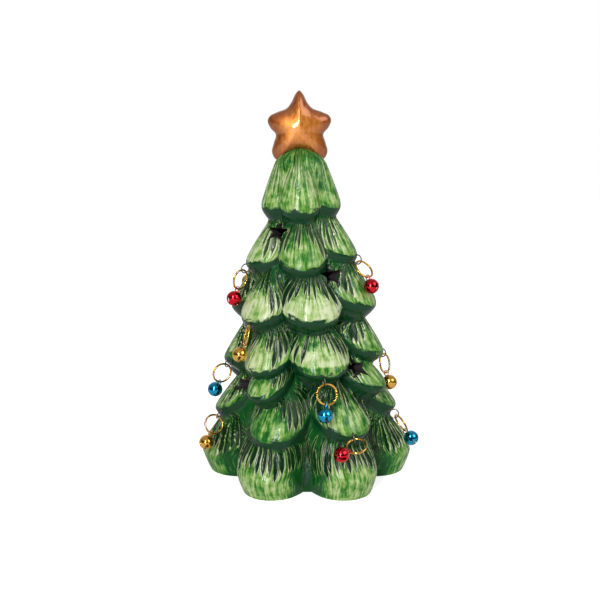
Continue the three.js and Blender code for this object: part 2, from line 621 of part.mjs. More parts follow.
/** Upturned cup that holds the board and the lamp. */
function housing() {
  let body = solid(bar(housingDiameter, FLOOR_UNDERSIDE, housingTop));
  body = body.subtract(solid(bar(housingInner, FLOOR_UNDERSIDE - THROUGH, housingTop - HOUSING_WALL)));
  const postTop = housingTop - HOUSING_WALL / 2;
  for (const turn of [30, 150, 270]) {
    const x = (boardDiameter / 2 - POST_DIAMETER) * Math.cos(rad(turn));
    const y = (boardDiameter / 2 - POST_DIAMETER) * Math.sin(rad(turn));
    body = body.add(solid(bar(POST_DIAMETER, boardTop + SEAT_GAP, postTop, x, y, 8)));
  }
  const holeLow = housingTop - 2 * HOUSING_WALL;
  const hole = bar(LAMP_DIAMETER + 2 * LAMP_GAP, holeLow, housingTop + THROUGH, 0, 0, 16);
  return geometryOf(body.subtract(solid(hole)));
}

/** Outline of the battery door, grown by a gap: a disc with a tab for its screw. */
function doorSolid(low, high, grown) {
  const disc = solid(bar(doorDiameter + 2 * grown, low, high, 0, cellY, 20));
  return disc.add(solid(bar(SCREW_HEAD_DIAMETER + 2 * (TAB_RIM + grown), low, high, screwX, cellY, 16)));
}

/** Flange under the floor, with the cell's cup, the screw's boss and the switch slot. */
function baseCap() {
  const low = capTop - SINK;
  let body = solid(bar(flangeDiameter, capBottom, capTop));
  body = body.subtract(doorSolid(capBottom - THROUGH, capTop + THROUGH, SLIDE_GAP));
  const cup = solid(bar(cupDiameter, low, cupTop, 0, cellY, 20));
  const boss = solid(bar(SCREW_HEAD_DIAMETER + 2 * BOSS_RIM, low, cupTop, screwX, cellY, 12));
  const footDiameter = SCREW_HEAD_DIAMETER + 2 * BOSS_FOOT_RIM;
  const foot = solid(bar(footDiameter, low, capTop + BOSS_FOOT_THICK, screwX, cellY, 16));
  body = body.add(cup).add(boss).add(foot);
  body = body.subtract(solid(bar(cupInner, capBottom - THROUGH, cupTop - CUP_WALL, 0, cellY, 20)));
  const pilot = bar(SCREW_SHANK_DIAMETER + 2 * SLIDE_GAP, capBottom, cupTop + THROUGH, screwX, cellY, 8);
  body = body.subtract(solid(pilot));
  const slot = block(KNOB_LENGTH + SWITCH_TRAVEL + 2 * SLIDE_GAP, KNOB_WIDTH + 2 * SLIDE_GAP,
    capBottom - THROUGH, capTop + THROUGH, SWITCH_TRAVEL / 2, switchY);
  return geometryOf(body.subtract(solid(slot)));
}

/** Battery door with its screw hole. */
function batteryDoor() {
  const high = capTop - SEAT_GAP;
  const hole = bar(SCREW_SHANK_DIAMETER + 2 * SLIDE_GAP, 0, housingTop, screwX, cellY, 8);
  return geometryOf(doorSolid(high - DOOR_THICK, high, 0).subtract(solid(hole)));
}

/** Door screw: a low head and a plain shank. */
function doorScrew() {
  const under = capTop - SEAT_GAP - DOOR_THICK - SEAT_GAP;
  const head = solid(bar(SCREW_HEAD_DIAMETER, under - SCREW_HEAD_THICK, under, screwX, cellY, 12));
  const low = under - SCREW_HEAD_THICK / 2;
  const shank = bar(SCREW_SHANK_DIAMETER, low, under + SCREW_LENGTH, screwX, cellY, 8);
  return geometryOf(head.add(solid(shank)));
}

/** Button cell with its stepped rim. */
function coinCell() {
  const r = CELL_DIAMETER / 2;
  const narrow = r - CELL_STEP_WIDTH;
  const profile = [[0, 0], [narrow, 0], [narrow, CELL_STEP_THICK], [r, CELL_STEP_THICK], [r, CELL_THICK],
    [0, CELL_THICK]];
  const points = profile.map(([x, z]) => new THREE.Vector2(x, z));
  return new THREE.LatheGeometry(points, 16).rotateX(Math.PI / 2).translate(0, cellY, capTop);
}

/** Sprung contact leaf over the cell. */
function cellContact() {
  const low = capTop + CELL_THICK + SEAT_GAP;
  const end = CONTACT_LENGTH / 2;
  const leaf = new THREE.Shape();
  leaf.moveTo(-end, CONTACT_RISE - CONTACT_THICK);
  leaf.lineTo(-end + CONTACT_THICK, CONTACT_RISE);
  leaf.quadraticCurveTo(0, -CONTACT_THICK / 2, end - CONTACT_THICK, CONTACT_RISE);
  leaf.lineTo(end, CONTACT_RISE - CONTACT_THICK);
  leaf.quadraticCurveTo(0, -2 * CONTACT_THICK, -end, CONTACT_RISE - CONTACT_THICK);
  const options = { depth: CONTACT_WIDTH, bevelEnabled: false, curveSegments: 6 };
  const strip = new THREE.ExtrudeGeometry(leaf, options);
  return strip.rotateX(Math.PI / 2).translate(0, cellY + CONTACT_WIDTH / 2, low + CONTACT_THICK / 2);
}

/** Round board with two holes for the lamp's legs. */
function circuitBoard() {
  let body = solid(bar(boardDiameter, boardTop - BOARD_THICK, boardTop, 0, 0, 16));
  for (const x of [-LEG_PITCH / 2, LEG_PITCH / 2]) {
    body = body.subtract(solid(bar(LEG_DIAMETER + 2 * SLIDE_GAP, 0, housingTop, x, 0, 6)));
  }
  return geometryOf(body);
}

/** Lamp: collar, round body with a domed end, and two legs through the board. */
function lamp() {
  const low = boardTop + SEAT_GAP;
  const r = LAMP_DIAMETER / 2;
  const points = [new THREE.Vector2(0, 0), new THREE.Vector2(r + LAMP_COLLAR, 0),
    new THREE.Vector2(r + LAMP_COLLAR, LAMP_COLLAR_THICK), new THREE.Vector2(r, LAMP_COLLAR_THICK)];
  for (let i = 0; i <= 3; i += 1) {
    const a = (Math.PI / 2) * (i / 3);
    points.push(new THREE.Vector2(i === 3 ? 0 : r * Math.cos(a), LAMP_LENGTH - r + r * Math.sin(a)));
  }
  let body = solid(new THREE.LatheGeometry(points, 10).rotateX(Math.PI / 2).translate(0, 0, low));
  for (const x of [-LEG_PITCH / 2, LEG_PITCH / 2]) {
    body = body.add(solid(bar(LEG_DIAMETER, low - LEG_LENGTH, low + LEG_DIAMETER, x, 0, 6)));
  }
  return geometryOf(body);
}

/** Frosted cap over the lamp. */
function diffuser() {
  const low = housingTop + SEAT_GAP;
  const dome = (diameter, height) => {
    const r = diameter / 2;
    const points = [new THREE.Vector2(0, 0), new THREE.Vector2(r, 0)];
    for (let i = 0; i <= 4; i += 1) {
      const a = (Math.PI / 2) * (i / 4);
      points.push(new THREE.Vector2(i === 4 ? 0 : r * Math.cos(a), height - r + r * Math.sin(a)));
    }
    return new THREE.LatheGeometry(points, 12).rotateX(Math.PI / 2);
  };
  const outer = solid(dome(DIFFUSER_DIAMETER, DIFFUSER_HEIGHT).translate(0, 0, low));
  const innerHeight = DIFFUSER_HEIGHT - DIFFUSER_WALL + THROUGH;
  const innerDome = dome(DIFFUSER_DIAMETER - 2 * DIFFUSER_WALL, innerHeight);
  return geometryOf(outer.subtract(solid(innerDome.translate(0, 0, low - THROUGH))));
}

/** Switch knob in its slot, with the plate that keeps it in. */
function switchSlider() {
  const low = capTop + SEAT_GAP;
  const knob = block(KNOB_LENGTH, KNOB_WIDTH, capBottom - KNOB_PROUD, low + PLATE_THICK / 2, 0, switchY);
  const plateLength = KNOB_LENGTH + 2 * PLATE_LIP;
  const plate = block(plateLength, KNOB_WIDTH + PLATE_LIP, low, low + PLATE_THICK, 0, switchY);
  return geometryOf(solid(knob).add(solid(plate)));
}

// Assembly
const group = new THREE.Group();

/** Adds one named piece to the model. */
function add(name, geometry, material) {
  const mesh = new THREE.Mesh(geometry, material);
  mesh.name = name;
  group.add(mesh);
}

const spots = CHAINS.map(hang);
add('tree_body', treeBody(spots), greenGlaze());
add('star_topper', starTopper(), copperGlaze());
add('led_housing', housing(), whitePlastic());
add('base_cap', baseCap(), whitePlastic());
add('battery_door', batteryDoor(), whitePlastic());
add('door_screw', doorScrew(), steel());
add('coin_cell', coinCell(), steel());
add('cell_contact', cellContact(), brass());
add('circuit_board', circuitBoard(), finish(0x1f6b3a, 0.4, 0));
add('led_lamp', lamp(), finish(0xfff2c8, 0.1, 0));
add('light_diffuser', diffuser(), finish(0xf6f4ee, 0.6, 0));
add('switch_slider', switchSlider(), finish(0x202020, 0.5, 0));
CHAINS.forEach(({ glaze }, i) => {
  const number = String(i + 1).padStart(2, '0');
  add(`jump_ring_${number}`, jumpRing(spots[i]), brass());
  add(`jingle_bell_${number}`, jingleBell(spots[i]), finish(anodised[glaze], 0.16, 1));
  add(`bell_pellet_${number}`, pellet(spots[i]), steel());
});

// The origin moves to the middle of the outer box, on the table
const box = new THREE.Box3().setFromObject(group);
const middle = box.getCenter(new THREE.Vector3());
group.position.set(-middle.x, -middle.y, -box.min.z);
group.updateMatrixWorld(true);

export default group;
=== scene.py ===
"""Looks of a small ceramic Christmas tree with a star, jingle bells and a battery light.

The tree is slip-cast, carved with needle strokes, dry-brushed and glazed. Sizes are in
millimetres until a mesh is made. The front looks along -Y and +X is to its right.
"""
import json
import logging
import math
from dataclasses import dataclass, field
from enum import Enum
from typing import Iterable, Optional, Sequence, Union

import bmesh
import bpy
import numpy as np
from mathutils import Matrix, Vector


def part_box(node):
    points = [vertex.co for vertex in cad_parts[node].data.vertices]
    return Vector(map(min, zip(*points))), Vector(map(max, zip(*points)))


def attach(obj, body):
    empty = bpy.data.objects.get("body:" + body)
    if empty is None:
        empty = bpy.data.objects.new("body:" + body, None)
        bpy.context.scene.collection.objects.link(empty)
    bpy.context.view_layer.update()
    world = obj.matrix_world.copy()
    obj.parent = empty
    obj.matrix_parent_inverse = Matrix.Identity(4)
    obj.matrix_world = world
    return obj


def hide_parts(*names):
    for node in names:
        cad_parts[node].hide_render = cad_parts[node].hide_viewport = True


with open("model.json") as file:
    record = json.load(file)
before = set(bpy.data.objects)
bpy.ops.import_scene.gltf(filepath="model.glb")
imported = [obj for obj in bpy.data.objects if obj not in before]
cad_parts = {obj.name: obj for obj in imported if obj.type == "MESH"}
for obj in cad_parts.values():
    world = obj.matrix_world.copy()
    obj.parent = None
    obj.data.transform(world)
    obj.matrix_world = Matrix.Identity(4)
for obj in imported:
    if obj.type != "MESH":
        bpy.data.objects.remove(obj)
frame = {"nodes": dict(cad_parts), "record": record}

LOG = logging.getLogger("ceramic_tree")
MM = 0.001
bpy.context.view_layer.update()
CHART_STEP = 4.0

Colour = tuple[float, float, float]
Value = Union[float, bpy.types.NodeSocket]
Pair = tuple[np.ndarray, np.ndarray]
Triple = tuple[np.ndarray, np.ndarray, np.ndarray]


class Glaze(Enum):
    """Anodised colours of the bells."""

    RED = "bell_red"
    BLUE = "bell_blue"
    GOLD = "bell_gold"


# Node graphs


class Maths:
    """Short names for the commonest operations; the classes below say where they are worked out."""

    def math(self, kind: str, *values: Value) -> Value:
        """One operation of the Math node."""
        raise NotImplementedError

    def ramp(self, value: Value, low: Value, high: Value) -> Value:
        """Smooth step from 0 at low to 1 at high."""
        raise NotImplementedError

    def add(self, a: Value, b: Value) -> Value:
        """a plus b."""
        return self.math("ADD", a, b)

    def sub(self, a: Value, b: Value) -> Value:
        """a less b."""
        return self.math("SUBTRACT", a, b)

    def mul(self, a: Value, b: Value) -> Value:
        """a times b."""
        return self.math("MULTIPLY", a, b)

    def mad(self, a: Value, b: Value, c: Value) -> Value:
        """a times b, plus c."""
        return self.math("MULTIPLY_ADD", a, b, c)


class Graph(Maths):
    """Short calls for building one shader node tree."""

    def __init__(self, tree: bpy.types.NodeTree) -> None:
        """Holds the tree and its lists of nodes and links."""
        self.tree = tree
        self.nodes = tree.nodes
        self.links = tree.links

    def feed(self, socket: bpy.types.NodeSocket, value: Value) -> None:
        """Links a socket to an input, or writes a plain value on it.

        Args:
            socket: The input socket.
            value: A socket, a number or a colour.
        """
        if isinstance(value, bpy.types.NodeSocket):
            self.links.new(value, socket)
        else:
            socket.default_value = value

    def math(self, kind: str, *values: Value, clamp: bool = False) -> bpy.types.NodeSocket:
        """Adds a Math node.

        Args:
            kind: The operation's name.
            values: Its inputs in order.
            clamp: Keeps the result between 0 and 1.

        Returns:
            The result's socket.
        """
        node = self.nodes.new("ShaderNodeMath")
        node.operation = kind
        node.use_clamp = clamp
        for socket, value in zip(node.inputs, values):
            self.feed(socket, value)
        return node.outputs[0]

    def ramp(self, value: Value, low: Value, high: Value) -> bpy.types.NodeSocket:
        """Smooth step from 0 at low to 1 at high.

        Args:
            value: The number that is looked at.
            low: Where the step starts.
            high: Where it ends; it may lie under low for a falling step.

        Returns:
            A number from 0 to 1.
        """
        node = self.nodes.new("ShaderNodeMapRange")
        node.interpolation_type = "SMOOTHSTEP"
        for name, given in (("Value", value), ("From Min", low), ("From Max", high)):
            self.feed(node.inputs[name], given)
        return node.outputs[0]

    def mix(self, share: Value, low: Value, high: Value) -> bpy.types.NodeSocket:
        """Mixes two colours.

        Args:
            share: 0 for the first colour and 1 for the second.
            low: First colour, with four numbers, or a socket.
            high: Second colour.

        Returns:
            The mixed colour's socket.
        """
        node = self.nodes.new("ShaderNodeMix")
        node.data_type = "RGBA"
        self.feed(node.inputs[0], share)
        self.feed(node.inputs[6], low)
        self.feed(node.inputs[7], high)
        return node.outputs[2]

    def colours(self, value: Value, stops: Sequence[tuple[float, Colour]]) -> bpy.types.NodeSocket:
        """Runs through several colours as a number grows.

        Args:
            value: The number.
            stops: The number at which each colour is reached, in rising order.

        Returns:
            The colour's socket.
        """
        low, high = stops[0][0], stops[-1][0]
        share = self.nodes.new("ShaderNodeMapRange")
        for name, given in (("Value", value), ("From Min", low), ("From Max", high)):
            self.feed(share.inputs[name], given)
        band = self.nodes.new("ShaderNodeValToRGB")
        self.links.new(share.outputs[0], band.inputs[0])
        points = band.color_ramp.elements
        while len(points) < len(stops):
            points.new(0.5)
        for point, (at, colour) in zip(points, stops):
            point.position = (at - low) / (high - low)
            point.color = (*colour, 1.0)
        return band.outputs[0]

    def join(self, x: Value, y: Value, z: Value = 0.0) -> bpy.types.NodeSocket:
        """Three numbers as one vector."""
        node = self.nodes.new("ShaderNodeCombineXYZ")
        for socket, value in zip(node.inputs, (x, y, z)):
            self.feed(socket, value)
        return node.outputs[0]

    def split(self, vector: Value) -> tuple[bpy.types.NodeSocket, ...]:
        """The three numbers of a vector."""
        node = self.nodes.new("ShaderNodeSeparateXYZ")
        self.feed(node.inputs[0], vector)
        return tuple(node.outputs)

    def noise(self, vector: Value, scale: Value, detail: float = 2.0,
              rough: float = 0.5) -> bpy.types.NodeSocket:
        """Noise between 0 and 1.

        Args:
            vector: Where it is read.
            scale: Its frequency.
            detail: Number of octaves.
            rough: Strength of the finer octaves.

        Returns:
            The noise value's socket.
        """
        node = self.nodes.new("ShaderNodeTexNoise")
        self.feed(node.inputs["Vector"], vector)
        self.feed(node.inputs["Scale"], scale)
        node.inputs["Detail"].default_value = detail
        node.inputs["Roughness"].default_value = rough
        return node.outputs[0]

    def stretch(self, vector: Value, scale: Sequence[float]) -> bpy.types.NodeSocket:
        """A vector scaled along its axes."""
        node = self.nodes.new("ShaderNodeMapping")
        self.feed(node.inputs["Vector"], vector)
        node.inputs["Scale"].default_value = scale
        return node.outputs[0]

    def here(self) -> bpy.types.NodeSocket:
        """Object coordinates, in metres."""
        return self.nodes.new("ShaderNodeTexCoord").outputs["Object"]

    def attribute(self, name: str) -> bpy.types.NodeSocket:
        """A number stored on the mesh."""
        node = self.nodes.new("ShaderNodeAttribute")
        node.attribute_name = name
        return node.outputs["Fac"]

    def bump(self, height: Value, distance: float, strength: float = 1.0) -> bpy.types.NodeSocket:
        """A bumped normal.

        Args:
            height: Height from 0 to 1.
            distance: Height of 1, in metres.
            strength: Share of the effect.

        Returns:
            The normal's socket.
        """
        node = self.nodes.new("ShaderNodeBump")
        self.feed(node.inputs["Height"], height)
        node.inputs["Distance"].default_value = distance
        node.inputs["Strength"].default_value = strength
        return node.outputs[0]

    def place(self, group: bpy.types.NodeTree, **values: Value) -> bpy.types.Node:
        """Places a node group and sets its inputs by name.

        Args:
            group: The group's node tree.
            values: Its inputs; a space in a name is written as an underscore.

        Returns:
            The group's node.
        """
        node = self.nodes.new("ShaderNodeGroup")
        node.node_tree = group
        for name, value in values.items():
            self.feed(node.inputs[name.replace("_", " ")], value)
        return node


class Arrays(Maths):
    """The same short calls on plain arrays, so that one formula carves the mesh and colours it."""

    RULES = {"ADD": np.add, "SUBTRACT": np.subtract, "MULTIPLY": np.multiply, "DIVIDE": np.divide,
             "MAXIMUM": np.maximum, "MINIMUM": np.minimum, "SINE": np.sin, "FLOOR": np.floor,
             "ABSOLUTE": np.abs, "EXPONENT": np.exp,
             "MULTIPLY_ADD": lambda a, b, c: a * b + c, "FRACT": lambda a: a - np.floor(a)}

    def math(self, kind: str, *values: np.ndarray) -> np.ndarray:
        """One operation of the Math node.

        Args:
            kind: The operation's name.
            values: Its inputs in order.

        Returns:
            The result.
        """
        return self.RULES[kind](*values)

    def ramp(self, value: np.ndarray, low: np.ndarray, high: np.ndarray) -> np.ndarray:
        """Smooth step from 0 at low to 1 at high."""
        share = np.clip((value - low) / (high - low), 0, 1)
        return share * share * (3 - 2 * share)


def shader_group(name: str, inputs: dict[str, float],
                 outputs: Iterable[str]) -> tuple[Graph, dict, dict]:
    """Starts a shader node group with named number sockets.

    Args:
        name: The group's name.
        inputs: Input names with their defaults; a name that starts with At takes a vector.
        outputs: Output names.

    Returns:
        The group's graph, its inputs by name, and its output sockets by name.
    """
    tree = bpy.data.node_groups.new(name, "ShaderNodeTree")
    for label, default in inputs.items():
        kind = "NodeSocketVector" if label.startswith("At") else "NodeSocketFloat"
        socket = tree.interface.new_socket(label, in_out="INPUT", socket_type=kind)
        if kind == "NodeSocketFloat":
            socket.default_value = default
    for label in outputs:
        tree.interface.new_socket(label, in_out="OUTPUT", socket_type="NodeSocketFloat")
    start = tree.nodes.new("NodeGroupInput")
    end = tree.nodes.new("NodeGroupOutput")
    given = {s.name: s for s in start.outputs if s.name}
    made = {s.name: s for s in end.inputs if s.name}
    return Graph(tree), given, made


def brush_streaks() -> bpy.types.NodeTree:
    """Fine streaks that a dry brush leaves, long along the second axis of At."""
    defaults = {"At": 0, "Across": 3.0, "Along": 0.3}
    graph, given, made = shader_group("brush streaks", defaults, ["Streaks", "Blots"])
    x, y, z = graph.split(given["At"])
    fine = graph.join(graph.mul(x, given["Across"]), graph.mul(y, given["Along"]), z)
    streaks = graph.noise(fine, 1.0, 3.0, 0.65)
    graph.feed(made["Streaks"], graph.ramp(streaks, 0.30, 0.70))
    graph.feed(made["Blots"], graph.ramp(graph.noise(given["At"], 0.33, 3.0, 0.6), 0.32, 0.68))
    return graph.tree


def fine_unevenness() -> bpy.types.NodeTree:
    """Slight waviness and grain of a hand-made or moulded surface, read from object coordinates."""
    defaults = {"Wave": 120.0, "Grain": 1500.0}
    graph, given, made = shader_group("fine unevenness", defaults, ["Height", "Grain"])
    here = graph.here()
    for size, out in (("Wave", "Height"), ("Grain", "Grain")):
        graph.feed(made[out], graph.noise(here, given[size]))
    return graph.tree


def hand_wear() -> bpy.types.NodeTree:
    """Patches where handling has dulled or dusted a surface, from 0 to 1."""
    graph, given, made = shader_group("hand wear", {"Size": 90.0, "Amount": 0.3}, ["Wear"])
    spots = graph.ramp(graph.noise(graph.here(), given["Size"], 4.0, 0.7), 0.48, 0.72)
    graph.feed(made["Wear"], graph.math("MULTIPLY", spots, given["Amount"], clamp=True))
    return graph.tree


@dataclass
class Effects:
    """Shader node groups that more than one material uses."""

    brush: bpy.types.NodeTree = field(default_factory=brush_streaks)
    uneven: bpy.types.NodeTree = field(default_factory=fine_unevenness)
    wear: bpy.types.NodeTree = field(default_factory=hand_wear)


def rgba(colour: Colour) -> tuple[float, float, float, float]:
    """A colour with full alpha."""
    return (*colour, 1.0)


class Finish:
    """A material on the Principled shader; each kind of finish wires it in its own way."""

    name: str

    def make(self, effects: Effects) -> bpy.types.Material:
        """Builds the material.

        Args:
            effects: The shared node groups.

        Returns:
            The finished material.
        """
        material = bpy.data.materials.new(self.name)
        material.use_nodes = True
        graph = Graph(material.node_tree)
        self.wire(graph, graph.nodes["Principled BSDF"].inputs, effects)
        return material

    def wire(self, graph: Graph, shader: bpy.types.NodeInputs, effects: Effects) -> None:
        """Feeds the shader's inputs.

        Args:
            graph: The material's nodes.
            shader: The shader's inputs by name.
            effects: The shared node groups.
        """
        raise NotImplementedError


@dataclass(frozen=True)
class GreenGlaze(Finish):
    """Carved ceramic: dark green underglaze, pale dry-brushed bellies and a clear glossy glaze.

    count is the number of strokes across a bough, and widths are shares of one stroke's cell. sway
    is how fast and how far the strokes bend, and jitter how far one lies off its cell's middle.
    lift, low, length and thick give the least value and what a draw adds, the first three in
    millimetres. middle says where, as shares of count from the bough's middle, the lift ends and
    is whole. taper is the length of a stroke's ends. core and rim are the widths over which the
    stroke's hollow and its raised edge come and go. The belly is the brushed part of a bough; it is
    higher and wider by the bare values where no strokes are carved. Values named light and shade
    are what each thing adds to the brushed glaze's lightness or takes from it. What the rims add is
    a painted highlight, and what tuck_shade takes is painted shadow under the tier above. The
    shadow colour is painted shadow under each tier's edge, with a painted lit band lower on that
    underside, and the creases between boughs get painted shade in the groove colour.
    """

    name: str = "green glaze"
    groove: Colour = (0.001, 0.028, 0.005)
    shadow: Colour = (0.001, 0.045, 0.012)
    worn_and_lit: Colour = (0.030, 0.070, 0.042)
    deep: Colour = (0.002, 0.078, 0.012)
    leaf: Colour = (0.018, 0.165, 0.020)
    fresh: Colour = (0.140, 0.340, 0.050)
    pale: Colour = (0.420, 0.570, 0.210)
    cream: Colour = (0.660, 0.740, 0.460)
    count: float = 17.0
    half_width: float = 0.42
    slim_share: float = 1.6
    slim_width: float = 0.26
    slim_depth: float = 0.6
    slim_offset: float = 0.37
    sway: tuple[float, float] = (0.30, 0.14)
    jitter: float = 0.34
    middle: tuple[float, float] = (0.24, 0.10)
    lift: tuple[float, float] = (5.5, 8.0)
    foot_lift: float = 0.8
    low: tuple[float, float] = (-1.0, 4.0)
    length: tuple[float, float] = (12.0, 9.0)
    thick: tuple[float, float] = (0.55, 0.7)
    taper: float = 5.0
    core: tuple[float, float] = (-0.02, 0.07)
    rim: tuple[float, float, float] = (-0.15, -0.04, 0.05)
    rim_least: tuple[float, float] = (0.02, 0.10)
    belly_height: float = 16.0
    belly_side: float = 0.66
    bare_height: float = 24.0
    bare_side: float = 0.35
    belly_fade: float = 0.35
    belly_edge: float = 0.62
    belly_light: tuple[float, float] = (0.26, 0.80)
    least_light: float = -0.16
    streak_light: float = 0.74
    blot_light: float = 0.34
    rim_highlight: float = 0.80
    tuck_shade: float = 0.60
    crease_shade_side: float = 0.90
    crease_shade_depth: float = 0.85
    relief: float = 0.45
    fan_height: float = 27.0
    first_foot_bough: float = 34.5

    def fan(self, maths: Maths, across: Value, along: Value) -> Value:
        """Coordinate that stays the same along a stroke: strokes fan out and bend in at the edge.

        Args:
            maths: Where the formula is worked out.
            across: Place across the bough, from -1 to 1.
            along: Height over the bough's edge in millimetres.

        Returns:
            The bent place across.
        """
        high = maths.math("MINIMUM", maths.math("MAXIMUM", along, 0.0), 0.72 * self.fan_height)
        left = maths.sub(1.0, maths.math("DIVIDE", high, self.fan_height))
        bend = maths.math("EXPONENT", maths.mul(high, -0.25))
        spread = maths.mad(bend, 0.40, maths.math("DIVIDE", 1.0, left))
        return maths.mul(across, spread)

    def on_foot(self, maths: Maths, seed: Value) -> Value:
        """1 on the boughs of the foot tier and 0 above it."""
        return maths.ramp(seed, self.first_foot_bough, self.first_foot_bough + 0.1)

    def pick(self, maths: Maths, key: Value, turn: float) -> Value:
        """A number from 0 to 1 drawn for a stroke."""
        wave = maths.math("SINE", maths.mad(turn, 2.6, key))
        return maths.math("FRACT", maths.mul(wave, 43.7))

    def drawn(self, maths: Maths, draw: Value, span: tuple[float, float]) -> Value:
        """The least value of a span and a drawn share of what is added to it."""
        return maths.mad(draw, span[1], span[0])

    def strokes(self, maths: Maths, fan: Value, along: Value, seed: Value,
                slim: bool = False) -> tuple[Value, Value]:
        """One layer of carved needle strokes.

        Args:
            maths: Where the formula is worked out.
            fan: The strokes' own coordinate.
            along: Height over the bough's edge in millimetres.
            seed: A number for the bough.
            slim: True for the finer layer.

        Returns:
            Depth of the carving from 0 to 1, and the strokes' raised rims from 0 to 1.
        """
        count = self.count * (self.slim_share if slim else 1.0)
        width = self.slim_width if slim else self.half_width
        seed = maths.add(seed, self.slim_offset if slim else 0.0)
        sway = maths.math("SINE", maths.mad(along, self.sway[0], maths.mul(seed, 5.0)))
        place = maths.mad(fan, count / 2, maths.mad(sway, self.sway[1], seed))
        cell = maths.math("FLOOR", place)
        key = maths.mad(cell, 1.713, maths.mul(seed, 2.391))
        one, two, three = (self.pick(maths, key, float(turn)) for turn in range(3))
        shift = maths.mad(three, self.jitter, -self.jitter / 2)
        off = maths.sub(maths.math("FRACT", place), maths.add(shift, 0.5))
        off = maths.math("ABSOLUTE", off)
        aside = maths.math("ABSOLUTE", maths.sub(maths.add(cell, 0.8), seed))
        middle = maths.ramp(aside, self.middle[0] * count, self.middle[1] * count)
        foot = self.on_foot(maths, seed)
        lift = maths.mul(self.drawn(maths, one, self.lift), middle)
        lift = maths.mul(lift, maths.mad(foot, -self.foot_lift, 1.0))
        start = maths.add(lift, self.drawn(maths, two, self.low))
        end = maths.add(start, self.drawn(maths, three, self.length))
        below = maths.ramp(along, start, maths.add(start, self.taper))
        above = maths.ramp(along, end, maths.sub(end, self.taper))
        stroke_width = maths.mul(maths.mul(below, above), width)
        stroke_width = maths.mul(stroke_width, self.drawn(maths, one, self.thick))
        near = maths.sub(stroke_width, off)
        core = maths.ramp(near, *self.core)
        outer, full, inner = self.rim
        rim = maths.mul(maths.ramp(near, outer, full), maths.ramp(near, inner, 0.0))
        return core, maths.mul(rim, maths.ramp(stroke_width, *self.rim_least))

    def wire(self, graph: Graph, shader: bpy.types.NodeInputs, effects: Effects) -> None:
        """Carved strokes and pale bellies, with painted shadow and a painted lit band under each edge,
        painted shade in the creases and painted highlights on the stroke rims, laid out on the bough chart.
        """
        chart = graph.nodes.new("ShaderNodeUVMap")
        chart.uv_map = "bough"
        wide, along, _ = graph.split(chart.outputs[0])
        seed = graph.math("ROUND", graph.math("DIVIDE", wide, CHART_STEP))
        across = graph.sub(wide, graph.mul(seed, CHART_STEP))
        side = graph.math("ABSOLUTE", across)
        fan = self.fan(graph, across, along)
        keep = graph.attribute("carved")
        main, rims = self.strokes(graph, fan, along, seed)
        slim, _ = self.strokes(graph, fan, along, seed, slim=True)
        carved = graph.mul(graph.math("MAXIMUM", main, graph.mul(slim, self.slim_depth)), keep)
        rims = graph.mul(rims, keep)
        # Painted shadow: how near a point lies under the edge of the tier above.
        tier_shadow = graph.attribute("tier_shadow")
        at = graph.join(graph.mad(seed, 17.0, graph.mul(fan, 13.0)), along, 0.0)
        brush = graph.place(effects.brush, At=at, Across=1.15, Along=0.13)
        streaks, blots = brush.outputs["Streaks"], brush.outputs["Blots"]
        foot = self.on_foot(graph, seed)
        above_foot = graph.sub(1.0, foot)
        plain = graph.sub(1.0, keep)
        limit = graph.mad(plain, self.bare_side, self.belly_side)
        share = graph.math("MINIMUM", graph.math("DIVIDE", side, limit), 1.0)
        onion = graph.sub(1.0, graph.math("POWER", share, 2.0))
        crown = graph.mad(plain, self.bare_height, self.belly_height)
        crown = graph.mad(onion, crown, graph.mul(blots, 4.0))
        belly = graph.ramp(along, crown, graph.mul(crown, self.belly_fade))
        belly = graph.mul(belly, graph.ramp(share, 1.0, self.belly_edge))
        light = self.drawn(graph, graph.attribute("pale"), self.belly_light)
        light = graph.mad(belly, light, self.least_light)
        light = graph.mad(graph.sub(streaks, 0.5), self.streak_light, light)
        light = graph.mad(graph.sub(blots, 0.5), self.blot_light, light)
        # Painted highlight: the strokes' raised rims are lightened towards cream.
        light = graph.mad(rims, self.rim_highlight, light)
        # Painted shadow under the tier above darkens the glaze.
        light = graph.mad(tier_shadow, -self.tuck_shade, light)
        body = graph.colours(light, ((self.least_light, self.deep), (0.14, self.leaf), (0.42, self.fresh),
                                     (0.74, self.pale), (1.10, self.cream)))
        # Painted shade: the creases between boughs, above the foot tier, darken towards the groove colour.
        crease_shade = graph.ramp(side, self.belly_side, self.crease_shade_side)
        crease_shade = graph.mul(crease_shade, graph.mul(above_foot, self.crease_shade_depth))
        body = graph.mix(graph.math("MAXIMUM", carved, crease_shade), body, rgba(self.groove))
        # Painted shadow under each tier's edge, with a ragged boundary, and a painted lit grey band lower
        # down where the underside's rim catches light.
        ragged = graph.mad(blots, -2.4, graph.add(along, graph.mul(streaks, -0.8)))
        under = graph.mul(graph.ramp(ragged, 0.2, -0.9), above_foot)
        lit_underside = graph.mul(graph.ramp(along, -1.6, -4.2), graph.ramp(blots, 0.38, 0.62))
        dark = graph.mix(lit_underside, rgba(self.shadow), rgba(self.worn_and_lit))
        body = graph.mix(under, body, dark)
        graph.feed(shader["Base Color"], body)
        uneven = graph.place(effects.uneven, Wave=150.0, Grain=900.0)
        height = graph.mad(carved, -0.9, graph.mul(uneven.outputs["Height"], 0.35))
        height = graph.mad(rims, 0.35, height)
        height = graph.mad(streaks, 0.10, height)
        graph.feed(shader["Normal"], graph.bump(height, self.relief * MM, 0.9))
        graph.feed(shader["Roughness"], graph.mad(streaks, 0.10, 0.10))
        shader["Specular IOR Level"].default_value = 0.35


